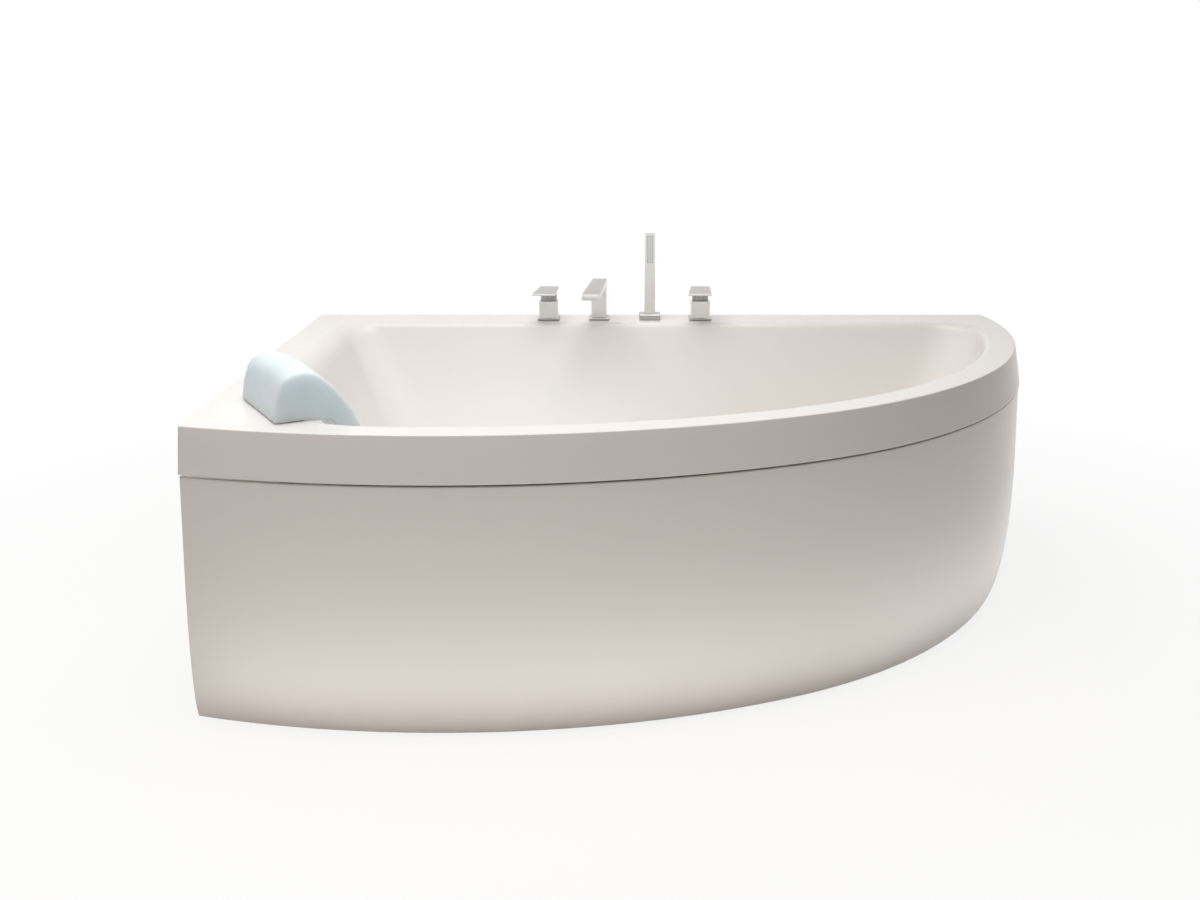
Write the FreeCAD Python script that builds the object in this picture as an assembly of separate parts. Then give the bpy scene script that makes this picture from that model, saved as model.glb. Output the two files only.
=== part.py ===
"""Corner bathtub with a curved front, deck taps, a pop-up waste and a gel headrest.

Millimetres, +Z up. The origin lies on the floor, at the middle of the overall box.
The tub stands in a corner: its left end is against the plane x = LEFT and its back
against the plane y = BACK, so places are given as distances from those two walls.
"""
import FreeCAD, Part
import math
import os

from FreeCAD import Vector

# ---------------------------------------------------------------- driving dimensions
LENGTH = 1700.0            # overall, along the back wall
WIDTH = 1200.0             # overall, from the back wall to the front of the fascia
RIM_HEIGHT = 545.0         # top of the deck above the floor
RUNNING_FIT = 0.05
OVERCUT = 1.0              # hollows are cut from this far outside the face that they open

# plan of the rim: an end arc on the right that runs into a flatter front arc
END_REACH = 115.0          # the end arc is widest this far in front of the back wall
FRONT_CREST = 440.0        # the front arc is deepest this far from the left wall
FRONT_BULGE = 48.0         # its crest stands this far outside the end arc's circle

# shell
SHELL = 6.0                # acrylic with its glass fibre backing
FASCIA_HEIGHT = 82.0
FASCIA_FLARE = 12.0        # the fascia leans out by this towards its lower edge
FASCIA_EDGE_ROUND = 4.0
LIP_DEPTH = 30.0           # down-turned edge along the two walls

# opening of the basin, as widths of the deck round it
BACK_RIM = 113.0
LEFT_RIM = 70.0
FRONT_RIM = 56.0
BACK_LEFT_RADIUS = 70.0
BACK_RIGHT_RADIUS = 95.0
FRONT_LEFT_RADIUS = 280.0
FLOOR_CORNER_RADIUS = 150.0

# basin
BASIN_FLOOR = 140.0        # top of the basin's floor above the ground
BACK_SLOPE = 14.0          # degrees from upright
LEFT_SLOPE = 26.0
FRONT_SLOPE = 12.0
RIM_ROLL = 16.0
LEFT_RIM_ROLL = 60.0
FLOOR_RADIUS = 90.0
LEFT_FLOOR_RADIUS = 120.0
RIM_START_ANGLE = 12.0     # degrees the wall already falls at where it leaves the deck
UPPER_LEVELS = 8
LOWER_LEVELS = 6

# front panel
PANEL_THICKNESS = 5.0
PANEL_GAP = 4.0            # shadow gap under the fascia
PANEL_SETBACK = 2.0        # the panel's face lies this far inside the fascia's lower edge
PANEL_FLOOR_GAP = 5.0
PANEL_CURL = 44.0          # how far the foot of the panel draws in
PANEL_CURL_HEIGHT = 300.0
PANEL_WALL_GAP = 2.0
PANEL_FLANGE_WIDTH = 30.0
PANEL_FLANGE_THICKNESS = 4.0
PANEL_LEVELS = 9

# timber
BOARD_THICKNESS = 16.0
BOARD_INSET = 15.0         # inside the flat of the basin floor
BATTEN_INSET = 8.0
BATTEN_WIDTH = 22.0
BATTEN_HEIGHT = 30.0
LEDGE_BOARD_THICKNESS = 15.0
LEDGE_BOARD_WIDTH = 88.0
LEDGE_BOARD_WALL_GAP = 10.0
LEDGE_BOARD_OVERHANG = 55.0

# frame
RAIL = 30.0
RAIL_WALL = 2.0
BACK_RAIL_PLACE = 330.0    # centre line of the rail from the back wall
FRONT_RAIL_INSET = 308.0   # and of the front one from the crest of the rim
RAIL_START = 150.0         # from the left wall
BACK_RAIL_END_GAP = 85.0   # between a rail's right end and the rim over it
FRONT_RAIL_END_GAP = 225.0
CROSS_RAIL_LEFT_INSET = 280.0   # from the ends of the front rail
CROSS_RAIL_RIGHT_INSET = 40.0
SCREW_RADIUS = 2.5
SCREW_HEAD_RADIUS = 5.5
SCREW_HEAD = 3.0
SCREW_BITE = 12.0
SCREWS_PER_RAIL = 4
SCREW_INSET = 60.0         # from the edge of the base board

# levelling feet
FOOT_INSET = 100.0         # from the end of the rail
STUD_RADIUS = 6.0
STUD_TOP_ROOM = 5.0
PAD_RADIUS = 22.5
PAD_HEIGHT = 12.0
PAD_FLOOR = 4.0
FOOT_NUT_ACROSS = 19.0
FOOT_NUT_HEIGHT = 10.0
SEAT_GAP = 0.3             # between a soft piece and what it rests on

# panel fixings
CLIP_WIDTH = 30.0
CLIP_THICKNESS = 1.5
CLIPS_ON_FRONT = 3
CLIPS_ON_END = 2
CLIP_HOOK_REACH = 18.0
CLIP_SEAT_GAP = 0.15       # flat clip on the curved batten
ARM_THICKNESS = 4.0
ARM_LAP = 70.0             # length of an arm that runs under its rail
CATCH_RADIUS = 14.0
CATCH_LENGTH = 8.0
CATCH_DROP = 28.0          # under the rails
ARM_TAB_HEIGHT = 50.0

# wall brackets
BRACKET_LENGTH = 60.0
BRACKET_REACH = 35.0
BRACKET_DROP = 50.0
BRACKET_THICKNESS = 3.0
BRACKET_HOLE_RADIUS = 3.25
BRACKET_HOLE_SPACING = 36.0
BACK_BRACKET_INSET = 250.0
LEFT_BRACKET_PLACE = 700.0

# deck taps
FIRST_TAP = 582.0          # from the left wall
TAP_PITCH = 126.0
TAP_INSET = 60.0           # from the back wall
TAP_TURN = -4.0            # degrees that spout and handles stand turned
SHANK_RADIUS = 13.0
SHANK_HOLE_CLEARANCE = 1.0
GASKET_THICKNESS = 1.5
GASKET_INSET = 1.5         # inside the smallest escutcheon, on each side
ESCUTCHEON_THICKNESS = 5.0
HANDLE_ESCUTCHEON = 54.0
CUBE = 46.0
CUBE_HEIGHT = 41.0
CUBE_WALL = 5.0
TRIM_CORNER_RADIUS = 2.0   # upright corners of cubes and escutcheons
TRIM_CHAMFER = 1.25        # top edge of the escutcheons
COLLAR_RADIUS = 20.0
COLLAR_GAP = 1.0
COLLAR_HEIGHT = 25.0
LEVER_THICKNESS = 5.0
LEVER_BACK_REACH = 23.0
LEVER_FRONT_REACH = 104.0
LEVER_BACK_WIDTH = 47.0
LEVER_FRONT_WIDTH = 56.0
LEVER_GAP = 0.4
LEVER_CHAMFER = 0.5
PIVOT_BACK = 10.0          # the pivot lies this far behind the collar's centre
PIVOT_DROP = 11.0          # and this far under the lever plate
PIVOT_RADIUS = 2.5
TONGUE_WIDTH = 10.0
TONGUE_RADIUS = 5.5
TONGUE_SIDE_GAP = 0.4
TONGUE_END_GAP = 2.0       # room for the tongue to swing
PIN_INSET = 0.5            # ends of the pin inside the collar
CARTRIDGE_HEIGHT = 33.0
STEM_RADIUS = 6.0
STEM_LENGTH = 20.0
VALVE_LENGTH = 60.0
VALVE_DEPTH = 40.0
VALVE_HEIGHT = 45.0
VALVE_DROP = 45.0          # top of the valve block under the deck
VALVE_EDGE_RADIUS = 5.0
INLET_RADIUS = 10.0
INLET_LENGTH = 20.0
INLET_SPACING = 34.0
INLET_BORE = 6.0
LINK_RADIUS = 6.0
LINK_BORE = 5.0
LINK_REACH = 26.0          # how far the link pipes stand in front of the valve blocks
LINK_BEND = 12.0
LINK_DROP = 12.0           # from the top of the valve block to the upper pipe
LINK_PITCH = 20.0
DECK_NUT_RADIUS = 20.0
DECK_NUT_HEIGHT = 8.0

SPOUT_ESCUTCHEON = 50.0
SPOUT_COLUMN = 39.0
SPOUT_HEIGHT = 99.0        # above the deck
SPOUT_ARM_THICKNESS = 14.0
SPOUT_REACH = 245.0        # in front of the column's centre
SPOUT_BACK_WIDTH = 36.0
SPOUT_FRONT_WIDTH = 42.0
SPOUT_BORE = 8.0
SPOUT_CHANNEL_HEIGHT = 7.0
SPOUT_CHANNEL_WIDTH = 22.0
AERATOR_LENGTH = 12.0
AERATOR_WIDTH = 30.0
AERATOR_BACKSET = 10.0     # from the tip of the spout
AERATOR_THICKNESS = 5.0
AERATOR_PROUD = 1.0
SPOUT_BLOCK = 36.0

SHOWER_ESCUTCHEON_LENGTH = 52.0
SHOWER_ESCUTCHEON_DEPTH = 46.0
SHOWER_ESCUTCHEON_HEIGHT = 12.5
SHOWER_STICK = 26.0
SHOWER_TOP = 220.0         # above the deck
SHOWER_TAPER = 1.5         # the stick is this much narrower at its top
SHOWER_EDGE = 1.0
SHOWER_SPIGOT_RADIUS = 9.0
SHOWER_SPIGOT_LENGTH = 55.0
SHOWER_SEAT_GAP = 0.1
GUIDE_DROP = 60.0
CONNECTOR_RADIUS = 7.0
CONNECTOR_LENGTH = 14.0
SPRAY_LENGTH = 75.0
SPRAY_WIDTH = 20.0
SPRAY_THICKNESS = 2.0
SPRAY_PROUD = 0.6
SPRAY_TOP_GAP = 6.0
NOZZLE_RADIUS = 0.9
NOZZLE_ROWS = 12
NOZZLES_PER_ROW = 3
NOZZLE_PITCH = 6.0

# waste and overflow, on one radius of the end arc
WASTE_ANGLE = -30.0        # degrees, seen from the centre of the end arc
DRAIN_INSET = 330.0        # from the rim along that radius
DRAIN_HOLE_RADIUS = 26.0
FLANGE_RADIUS = 35.0
FLANGE_THICKNESS = 3.0
FLANGE_DISH = 1.5
TAIL_RADIUS = 24.0
TAIL_WALL = 3.0
TAIL_DEPTH = 15.0          # of the tail inside the drain body
BRIDGE_HEIGHT = 6.0        # bar across the tail that guides the plug
BRIDGE_WALL = 3.0
PLUG_RADIUS = 31.0
PLUG_THICKNESS = 5.0
PLUG_STEM_RADIUS = 4.0
PLUG_STEM_LENGTH = 45.0
SEAL_THICKNESS = 2.0
SEAL_INNER_RADIUS = 12.0
SEAL_LAP = 6.0             # the seal covers this much of the flange
WASTE_GASKET = 3.0
DRAIN_BODY_RADIUS = 34.0
DRAIN_BODY_HEIGHT = 46.0
DRAIN_BODY_WALL = 4.0
DRAIN_SOCKET_REACH = 8.0
DRAIN_SOCKET_WALL = 3.0
DRAIN_PIPE_SEAT = 9.0      # how far the overflow pipe stands in its socket
TRAP_RADIUS = 45.0
TRAP_WALL = 3.0
TRAP_FLOOR = 12.0          # underside of the trap above the floor
DIP_TUBE_RADIUS = 20.0
DIP_TUBE_WALL = 2.5
TRAP_SEAL_GAP = 18.0
OUTLET_RADIUS = 20.0
OUTLET_WALL = 2.5
OUTLET_LENGTH = 60.0
OUTLET_TOP_GAP = 6.0       # between the outlet and the inside of the trap's lid
OUTLET_COLLAR_RADIUS = 23.0
OUTLET_COLLAR_REACH = 8.0  # shoulder in front of the trap that the waste pipe stops at
OVERFLOW_DROP = 125.0      # under the deck
OVERFLOW_HOLE_RADIUS = 22.0
OVERFLOW_NECK_RADIUS = 21.0
OVERFLOW_CUP_RADIUS = 29.0
OVERFLOW_CUP_DEPTH = 30.0
OVERFLOW_WALL = 3.0
OVERFLOW_GASKET = 3.0
OVERFLOW_SOCKET_WALL = 3.0
OVERFLOW_SOCKET_DEPTH = 8.0
OVERFLOW_SOCKET_TOP = 14.0     # above the end of the pipe
OVERFLOW_SOCKET_DROP = 12.0    # end of the pipe under the cup
SPOKE_RADIUS = 3.5
SPOKE_DEPTH = 8.0
HUB_WALL = 3.0
HUB_DEPTH = 3.0
HUB_LENGTH = 12.0
KNOB_RADIUS = 32.0
KNOB_THICKNESS = 13.0
KNOB_STANDOFF = 5.0        # water enters under the knob's edge
KNOB_SHAFT_RADIUS = 5.0
KNOB_SHAFT_LENGTH = 24.0
OVERFLOW_PIPE_RADIUS = 14.0
OVERFLOW_PIPE_WALL = 2.0
OVERFLOW_PIPE_INSET = 72.0
OVERFLOW_PIPE_BEND = 40.0
OVERFLOW_PIPE_DROP = 31.0  # centre of the low run under the shell
CABLE_RADIUS = 2.5
CABLE_ASIDE = 22.0
CABLE_INSET = 74.0
CABLE_BITE = 3.0           # how far its lower end stands in the drain body
CABLE_TOP_DROP = 20.5      # its upper end under the middle of the overflow

# headrest cushion: chord on the deck, then a section that leans into the basin
REST_FAR_LEFT = 54.0       # its far end on the deck, from the left wall
REST_FAR_FRONT = 260.0     # and from the crest of the front rim
REST_NEAR_LEFT = 163.0
REST_NEAR_FRONT = 68.0
REST_HEIGHT = 86.0
REST_CROWN = 5.0           # the middle of the cushion stands this much higher than its ends
REST_WAIST = 4.0           # and its back face is drawn in by this
REST_CREST = 60.0          # crest of the section from its back edge
REST_CHEST_REACH = 42.0    # the front of the section: three places in front of the crest
REST_TOE_REACH = 40.0
REST_BELLY_REACH = 80.0
REST_SHOULDER_REACH = 12.0
REST_NAPE_REACH = 27.0
REST_TIP_REACH = 168.0     # the lobe's tip from the back edge
REST_TIP_DROP = 48.0       # and under the deck
REST_TIP_ROUND = 9.0
REST_TIP_SLANT = 2.0
REST_TOE_DROP = 4.0
REST_ARCH_REACH = 56.0     # hollow of the underside over the rim, in front of the crest
REST_ARCH_DROP = 22.0
REST_LOBE_THICKNESS = 34.0
REST_STATIONS = 7
SUCKER_RADIUS = 14.0
SUCKER_HEIGHT = 6.0
SUCKER_INSET = 22.4        # centre from the back edge of the cushion

# ---------------------------------------------------------------- derived places
LEFT = -LENGTH / 2.0
BACK = WIDTH / 2.0
RIM_LENGTH = LENGTH - FASCIA_FLARE
RIM_WIDTH = WIDTH - FASCIA_FLARE
END_RADIUS = RIM_WIDTH - END_REACH - FRONT_BULGE
DECK_UNDERSIDE = RIM_HEIGHT - SHELL
FASCIA_BOTTOM = RIM_HEIGHT - FASCIA_HEIGHT
BASIN_DEPTH = RIM_HEIGHT - BASIN_FLOOR
SHELL_UNDERSIDE = BASIN_FLOOR - SHELL
BOARD_UNDERSIDE = SHELL_UNDERSIDE - BOARD_THICKNESS
RAIL_TOP = BOARD_UNDERSIDE
RAIL_BOTTOM = RAIL_TOP - RAIL
CATCH_HEIGHT = RAIL_BOTTOM - CATCH_DROP
PANEL_TOP = FASCIA_BOTTOM - PANEL_GAP
PANEL_FACE = FASCIA_FLARE - PANEL_SETBACK

END_CENTRE = Vector(LEFT + RIM_LENGTH - END_RADIUS, BACK - END_REACH, 0)


def front_arc():
    """Radius and centre of the front arc: deepest at FRONT_CREST, tangent to the end arc."""
    across = END_CENTRE.x - (LEFT + FRONT_CREST)
    deep = END_CENTRE.y - (BACK - RIM_WIDTH)
    radius = (across ** 2 + deep ** 2 - END_RADIUS ** 2) / (2.0 * (deep - END_RADIUS))
    centre = Vector(LEFT + FRONT_CREST, BACK - RIM_WIDTH + radius, 0)
    return radius, centre


FRONT_RADIUS, FRONT_CENTRE = front_arc()
JOIN_DIRECTION = (END_CENTRE - FRONT_CENTRE).normalize()


def end_arc_x(y):
    """X of the end arc of the rim at this y."""
    return END_CENTRE.x + math.sqrt(END_RADIUS ** 2 - (y - END_CENTRE.y) ** 2)


BACK_RAIL_Y = BACK - BACK_RAIL_PLACE
FRONT_RAIL_Y = BACK - RIM_WIDTH + FRONT_RAIL_INSET
RAIL_LEFT = LEFT + RAIL_START
BACK_RAIL_RIGHT = end_arc_x(BACK_RAIL_Y) - BACK_RAIL_END_GAP
FRONT_RAIL_RIGHT = end_arc_x(FRONT_RAIL_Y) - FRONT_RAIL_END_GAP


# ---------------------------------------------------------------- small helpers
def polar(centre, radius, degrees, z=0.0):
    angle = math.radians(degrees)
    return Vector(centre.x + radius * math.cos(angle), centre.y + radius * math.sin(angle), z)


def direction_angle(vector):
    return math.degrees(math.atan2(vector.y, vector.x))


def arc_between(centre, radius, start, end, z):
    """Arc from start degrees to end degrees about the centre, the short way."""
    middle = (start + end) / 2.0
    return Part.Arc(polar(centre, radius, start, z), polar(centre, radius, middle, z),
                    polar(centre, radius, end, z)).toShape()


def line(first, second):
    return Part.makeLine(first, second)


def box(x_low, x_high, y_low, y_high, z_low, z_high):
    return Part.makeBox(x_high - x_low, y_high - y_low, z_high - z_low,
                        Vector(x_low, y_low, z_low))


def centred_box(x, y, length, depth, z_low, z_high):
    return box(x - length / 2.0, x + length / 2.0, y - depth / 2.0, y + depth / 2.0, z_low, z_high)


def rod(radius, z_low, z_high, x=0.0, y=0.0):
    return Part.makeCylinder(radius, z_high - z_low, Vector(x, y, z_low))


def tube(outer, inner, z_low, z_high, x=0.0, y=0.0):
    return rod(outer, z_low, z_high, x, y).cut(rod(inner, z_low - OVERCUT, z_high + OVERCUT, x, y))


def rod_along(radius, start, direction, length):
    return Part.makeCylinder(radius, length, start, direction)


def hexagon(across, z_low, z_high, x, y):
    """Hexagon nut blank, its size measured across the flats."""
    corner = across / math.sqrt(3.0)
    points = [polar(Vector(x, y, 0), corner, 60.0 * k, z_low) for k in range(7)]
    return Part.Face(Part.makePolygon(points)).extrude(Vector(0, 0, z_high - z_low))


def rounded_block(x, y, length, depth, z_low, z_high, radius):
    """Block whose four upright edges are rounded."""
    block = centred_box(x, y, length, depth, z_low, z_high)
    upright = [e for e in block.Edges if abs(e.tangentAt(e.FirstParameter).z) > 0.99]
    return block.makeFillet(radius, upright)


def group(solids):
    return Part.Compound([s for shape in solids for s in shape.Solids])


def fuse(first, *others):
    shape = first
    for other in others:
        shape = shape.fuse(other)
    return shape.removeSplitter()


def hollow_wire_tube(points, radius, bore, bend):
    """Pipe through the points with tangent bends, and its bore."""
    edges = []
    start = points[0]
    for previous, corner, following in zip(points, points[1:], points[2:]):
        towards = (corner - previous).normalize()
        away = (following - corner).normalize()
        turn = towards.getAngle(away)
        trim = bend * math.tan(turn / 2.0)
        first = corner - towards * trim
        last = corner + away * trim
        inward = (away - towards).normalize()
        middle = corner + inward * (bend / math.cos(turn / 2.0) - bend)
        edges.append(line(start, first))
        edges.append(Part.Arc(first, middle, last).toShape())
        start = last
    edges.append(line(start, points[-1]))
    path = Part.Wire(edges)
    heading = (points[1] - points[0]).normalize()
    solid = sweep(path, points[0], heading, radius)
    if bore > 0:
        solid = solid.cut(sweep(path, points[0], heading, bore))
    return solid


def sweep(path, start, heading, radius):
    ring = Part.Wire(Part.makeCircle(radius, start, heading))
    return path.makePipeShell([ring], True, False)


# ---------------------------------------------------------------- plan of the rim
def end_start(offset, gap):
    """Angle at which the end arc, moved out by offset, meets the back wall's plane."""
    return math.degrees(math.asin((END_REACH - gap) / (END_RADIUS + offset)))


def front_finish(offset, gap):
    """Angle at which the front arc, moved out by offset, meets the left wall's plane."""
    return -math.degrees(math.acos((LEFT + gap - FRONT_CENTRE.x) / (FRONT_RADIUS + offset)))


def rim_arcs(offset, z, gap=0.0):
    """The two arcs of the curved side, from the back wall round to the left wall."""
    join = direction_angle(JOIN_DIRECTION)
    return [arc_between(END_CENTRE, END_RADIUS + offset, end_start(offset, gap), join, z),
            arc_between(FRONT_CENTRE, FRONT_RADIUS + offset, join, front_finish(offset, gap), z)]


def rim_outline(offset, z):
    """Closed outline of the deck, moved out by offset on its curved side only."""
    arcs = rim_arcs(offset, z)
    corner = Vector(LEFT, BACK, z)
    first = polar(END_CENTRE, END_RADIUS + offset, end_start(offset, 0.0), z)
    last = polar(FRONT_CENTRE, FRONT_RADIUS + offset, front_finish(offset, 0.0), z)
    return Part.Wire(arcs + [line(last, corner), line(corner, first)])


def curved_band(outer, inner, z, gap=0.0):
    """Closed outline between two offsets of the curved side."""
    start_outer = polar(END_CENTRE, END_RADIUS + outer, end_start(outer, gap), z)
    start_inner = polar(END_CENTRE, END_RADIUS + inner, end_start(inner, gap), z)
    end_outer = polar(FRONT_CENTRE, FRONT_RADIUS + outer, front_finish(outer, gap), z)
    end_inner = polar(FRONT_CENTRE, FRONT_RADIUS + inner, front_finish(inner, gap), z)
    inner_arcs = [arc.reversed() for arc in reversed(rim_arcs(inner, z, gap))]
    return Part.Wire(rim_arcs(outer, z, gap) + [line(end_outer, end_inner)] + inner_arcs
                     + [line(start_inner, start_outer)])


def band_solid(outer, inner, z_low, z_high, gap=0.0):
    return Part.Face(curved_band(outer, inner, z_low, gap)).extrude(Vector(0, 0, z_high - z_low))


# ---------------------------------------------------------------- basin
def wall_inset(drop, slope, roll, floor_round):
    """How far a basin wall has come in at this drop under the rim.

    The wall leaves the deck on a roll, runs straight at its slope and turns into
    the floor on the floor round.
    """
    start = math.radians(RIM_START_ANGLE)
    wall = math.radians(90.0 - slope)
    roll_drop = roll * (math.cos(start) - math.cos(wall))
    roll_run = roll * (math.sin(wall) - math.sin(start))
    floor_drop = floor_round * (1.0 - math.cos(wall))
    straight_drop = BASIN_DEPTH - roll_drop - floor_drop
    straight_run = straight_drop / math.tan(wall)
    if drop < roll_drop:
        angle = math.acos(math.cos(start) - drop / roll)
        return roll * (math.sin(angle) - math.sin(start))
    if drop < roll_drop + straight_drop:
        return roll_run + (drop - roll_drop) / math.tan(wall)
    angle = math.acos(max(-1.0, min(1.0, 1.0 - (BASIN_DEPTH - drop) / floor_round)))
    return roll_run + straight_run + floor_round * (math.sin(wall) - math.sin(angle))


def back_inset(drop):
    return BACK_RIM + wall_inset(drop, BACK_SLOPE, RIM_ROLL, FLOOR_RADIUS)


def left_inset(drop):
    return LEFT_RIM + wall_inset(drop, LEFT_SLOPE, LEFT_RIM_ROLL, LEFT_FLOOR_RADIUS)


def front_inset(drop):
    return FRONT_RIM + wall_inset(drop, FRONT_SLOPE, RIM_ROLL, FLOOR_RADIUS)


def line_arc_corner(flat, along_y, centre, radius, corner):
    """Centre of a corner arc inside the big arc and tangent to the wall line.

    flat is the line's place on its own axis; along_y tells a left (upright) line.
    """
    reach = radius - corner
    if along_y:
        x = flat + corner
        y = centre.y - math.sqrt(reach ** 2 - (x - centre.x) ** 2)
    else:
        y = flat - corner
        x = centre.x + math.sqrt(reach ** 2 - (y - centre.y) ** 2)
    return Vector(x, y, 0)


def basin_section(drop, grow, z):
    """Closed outline of the basin at this drop, moved out by grow all round."""
    back = BACK - back_inset(drop) + grow
    left = LEFT + left_inset(drop) - grow
    end_radius = END_RADIUS - front_inset(drop) + grow
    front_radius = FRONT_RADIUS - front_inset(drop) + grow
    share = (front_inset(drop) - FRONT_RIM) / (front_inset(BASIN_DEPTH) - FRONT_RIM)

    def corner_radius(at_rim):
        return at_rim + (FLOOR_CORNER_RADIUS - at_rim) * share + grow

    back_right = corner_radius(BACK_RIGHT_RADIUS)
    front_left = corner_radius(FRONT_LEFT_RADIUS)
    back_left = corner_radius(BACK_LEFT_RADIUS)
    right_corner = line_arc_corner(back, False, END_CENTRE, end_radius, back_right)
    left_corner = line_arc_corner(left, True, FRONT_CENTRE, front_radius, front_left)
    join = direction_angle(JOIN_DIRECTION)
    right_turn = direction_angle(right_corner - END_CENTRE)
    left_turn = direction_angle(left_corner - FRONT_CENTRE)
    wall_corner = Vector(left + back_left, back - back_left, 0)
    edges = [
        line(Vector(wall_corner.x, back, z), Vector(right_corner.x, back, z)),
        arc_between(right_corner, back_right, 90.0, right_turn, z),
        arc_between(END_CENTRE, end_radius, right_turn, join, z),
        arc_between(FRONT_CENTRE, front_radius, join, left_turn, z),
        arc_between(left_corner, front_left, left_turn, -180.0, z),
        line(Vector(left, left_corner.y, z), Vector(left, wall_corner.y, z)),
        arc_between(wall_corner, back_left, 180.0, 90.0, z),
    ]
    return Part.Wire(edges)


def basin_drops():
    """Drops of the sections: close together at the rim and at the floor."""
    half = BASIN_DEPTH / 2.0
    upper = [half * (k / UPPER_LEVELS) ** 2.5 for k in range(UPPER_LEVELS + 1)]
    lower = [BASIN_DEPTH - half * (k / LOWER_LEVELS) ** 2 for k in range(LOWER_LEVELS - 1, -1, -1)]
    return upper + lower


def basin_solid(grow, lower):
    """Space of the basin, or with grow and lower the same space with its shell."""
    wires = [basin_section(drop, grow, RIM_HEIGHT - drop - lower) for drop in basin_drops()]
    return Part.makeLoft(wires, True, False)


def waste_point(inset, z, aside=0.0):
    """Point on the waste's radius of the end arc, at an inset from the rim."""
    point = polar(END_CENTRE, END_RADIUS - inset, WASTE_ANGLE, z)
    angle = math.radians(WASTE_ANGLE)
    return point + Vector(-math.sin(angle), math.cos(angle), 0) * aside


def overflow_frame():
    """Point on the basin wall at the overflow, and the way the wall faces there."""
    point = waste_point(front_inset(OVERFLOW_DROP), RIM_HEIGHT - OVERFLOW_DROP)
    inward = waste_point(1.0, 0.0) - waste_point(0.0, 0.0)
    slope = math.radians(FRONT_SLOPE)
    facing = inward * math.cos(slope) + Vector(0, 0, 1) * math.sin(slope)
    return point, facing.normalize()


TAP_Y = BACK - TAP_INSET
TAP_X = [LEFT + FIRST_TAP + TAP_PITCH * k for k in range(4)]
MIXER_X, SPOUT_X, SHOWER_X, DIVERTER_X = TAP_X
DRAIN = waste_point(DRAIN_INSET, 0.0)
HOLE_RADIUS = SHANK_RADIUS + SHANK_HOLE_CLEARANCE


def rim_edges(shell):
    """Top edges of the curved side, between the deck and the fascia."""
    edges = []
    for edge in shell.Edges:
        bounds = edge.BoundBox
        curved = edge.Length > END_REACH and "Circle" in edge.Curve.TypeId
        if curved and bounds.ZMin > RIM_HEIGHT - OVERCUT / 2.0 and on_rim(edge):
            edges.append(edge)
    return edges


def on_rim(edge):
    centre = edge.Curve.Center
    for radius, place in ((END_RADIUS, END_CENTRE), (FRONT_RADIUS, FRONT_CENTRE)):
        near = math.hypot(centre.x - place.x, centre.y - place.y) < OVERCUT
        if near and abs(edge.Curve.Radius - radius) < OVERCUT:
            return True
    return False


def tub_shell():
    deck = Part.Face(rim_outline(0.0, DECK_UNDERSIDE)).extrude(Vector(0, 0, SHELL))
    fascia = Part.makeLoft([curved_band(0.0, -SHELL, RIM_HEIGHT),
                            curved_band(FASCIA_FLARE, FASCIA_FLARE - SHELL, FASCIA_BOTTOM)],
                           True, True)
    end_x = polar(END_CENTRE, END_RADIUS, end_start(0.0, 0.0)).x
    end_y = polar(FRONT_CENTRE, FRONT_RADIUS, front_finish(0.0, 0.0)).y
    lip_bottom = RIM_HEIGHT - LIP_DEPTH
    back_lip = box(LEFT, end_x - SHELL / 2.0, BACK - SHELL, BACK, lip_bottom, RIM_HEIGHT)
    left_lip = box(LEFT, LEFT + SHELL, end_y + SHELL / 2.0, BACK, lip_bottom, RIM_HEIGHT)
    shell = deck.fuse(fascia).fuse(back_lip).fuse(left_lip).removeSplitter()
    shell = shell.makeFillet(FASCIA_EDGE_ROUND, rim_edges(shell))
    shell = shell.fuse(basin_solid(SHELL, SHELL)).cut(basin_solid(0.0, 0.0))
    for x in TAP_X:
        shell = shell.cut(rod(HOLE_RADIUS, DECK_UNDERSIDE - OVERCUT, RIM_HEIGHT + OVERCUT, x, TAP_Y))
    shell = shell.cut(rod(DRAIN_HOLE_RADIUS, SHELL_UNDERSIDE - OVERCUT, BASIN_FLOOR + OVERCUT,
                          DRAIN.x, DRAIN.y))
    point, facing = overflow_frame()
    shell = shell.cut(rod_along(OVERFLOW_HOLE_RADIUS, point - facing * SHELL * 3.0, facing,
                                SHELL * 6.0))
    return shell.removeSplitter()


# ---------------------------------------------------------------- front panel
def panel_offset(z):
    """Offset of the panel's face from the rim: upright, then drawn in on an ellipse."""
    if z >= PANEL_CURL_HEIGHT:
        return PANEL_FACE
    down = (PANEL_CURL_HEIGHT - z) / PANEL_CURL_HEIGHT
    return PANEL_FACE - PANEL_CURL * (1.0 - math.sqrt(1.0 - down ** 2))


def front_panel():
    straight = band_solid(PANEL_FACE, PANEL_FACE - PANEL_THICKNESS, PANEL_CURL_HEIGHT, PANEL_TOP,
                          PANEL_WALL_GAP)
    curl_depth = PANEL_CURL_HEIGHT - PANEL_FLOOR_GAP
    wires = []
    for k in range(PANEL_LEVELS):
        z = PANEL_FLOOR_GAP + curl_depth * (k / (PANEL_LEVELS - 1.0)) ** 1.6
        face = panel_offset(z)
        wires.append(curved_band(face, face - PANEL_THICKNESS, z, PANEL_WALL_GAP))
    curl = Part.makeLoft(wires, True, False)
    flange = band_solid(PANEL_FACE, PANEL_FACE - PANEL_FLANGE_WIDTH,
                        PANEL_TOP - PANEL_FLANGE_THICKNESS, PANEL_TOP, PANEL_WALL_GAP)
    return fuse(straight, curl, flange)


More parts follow.
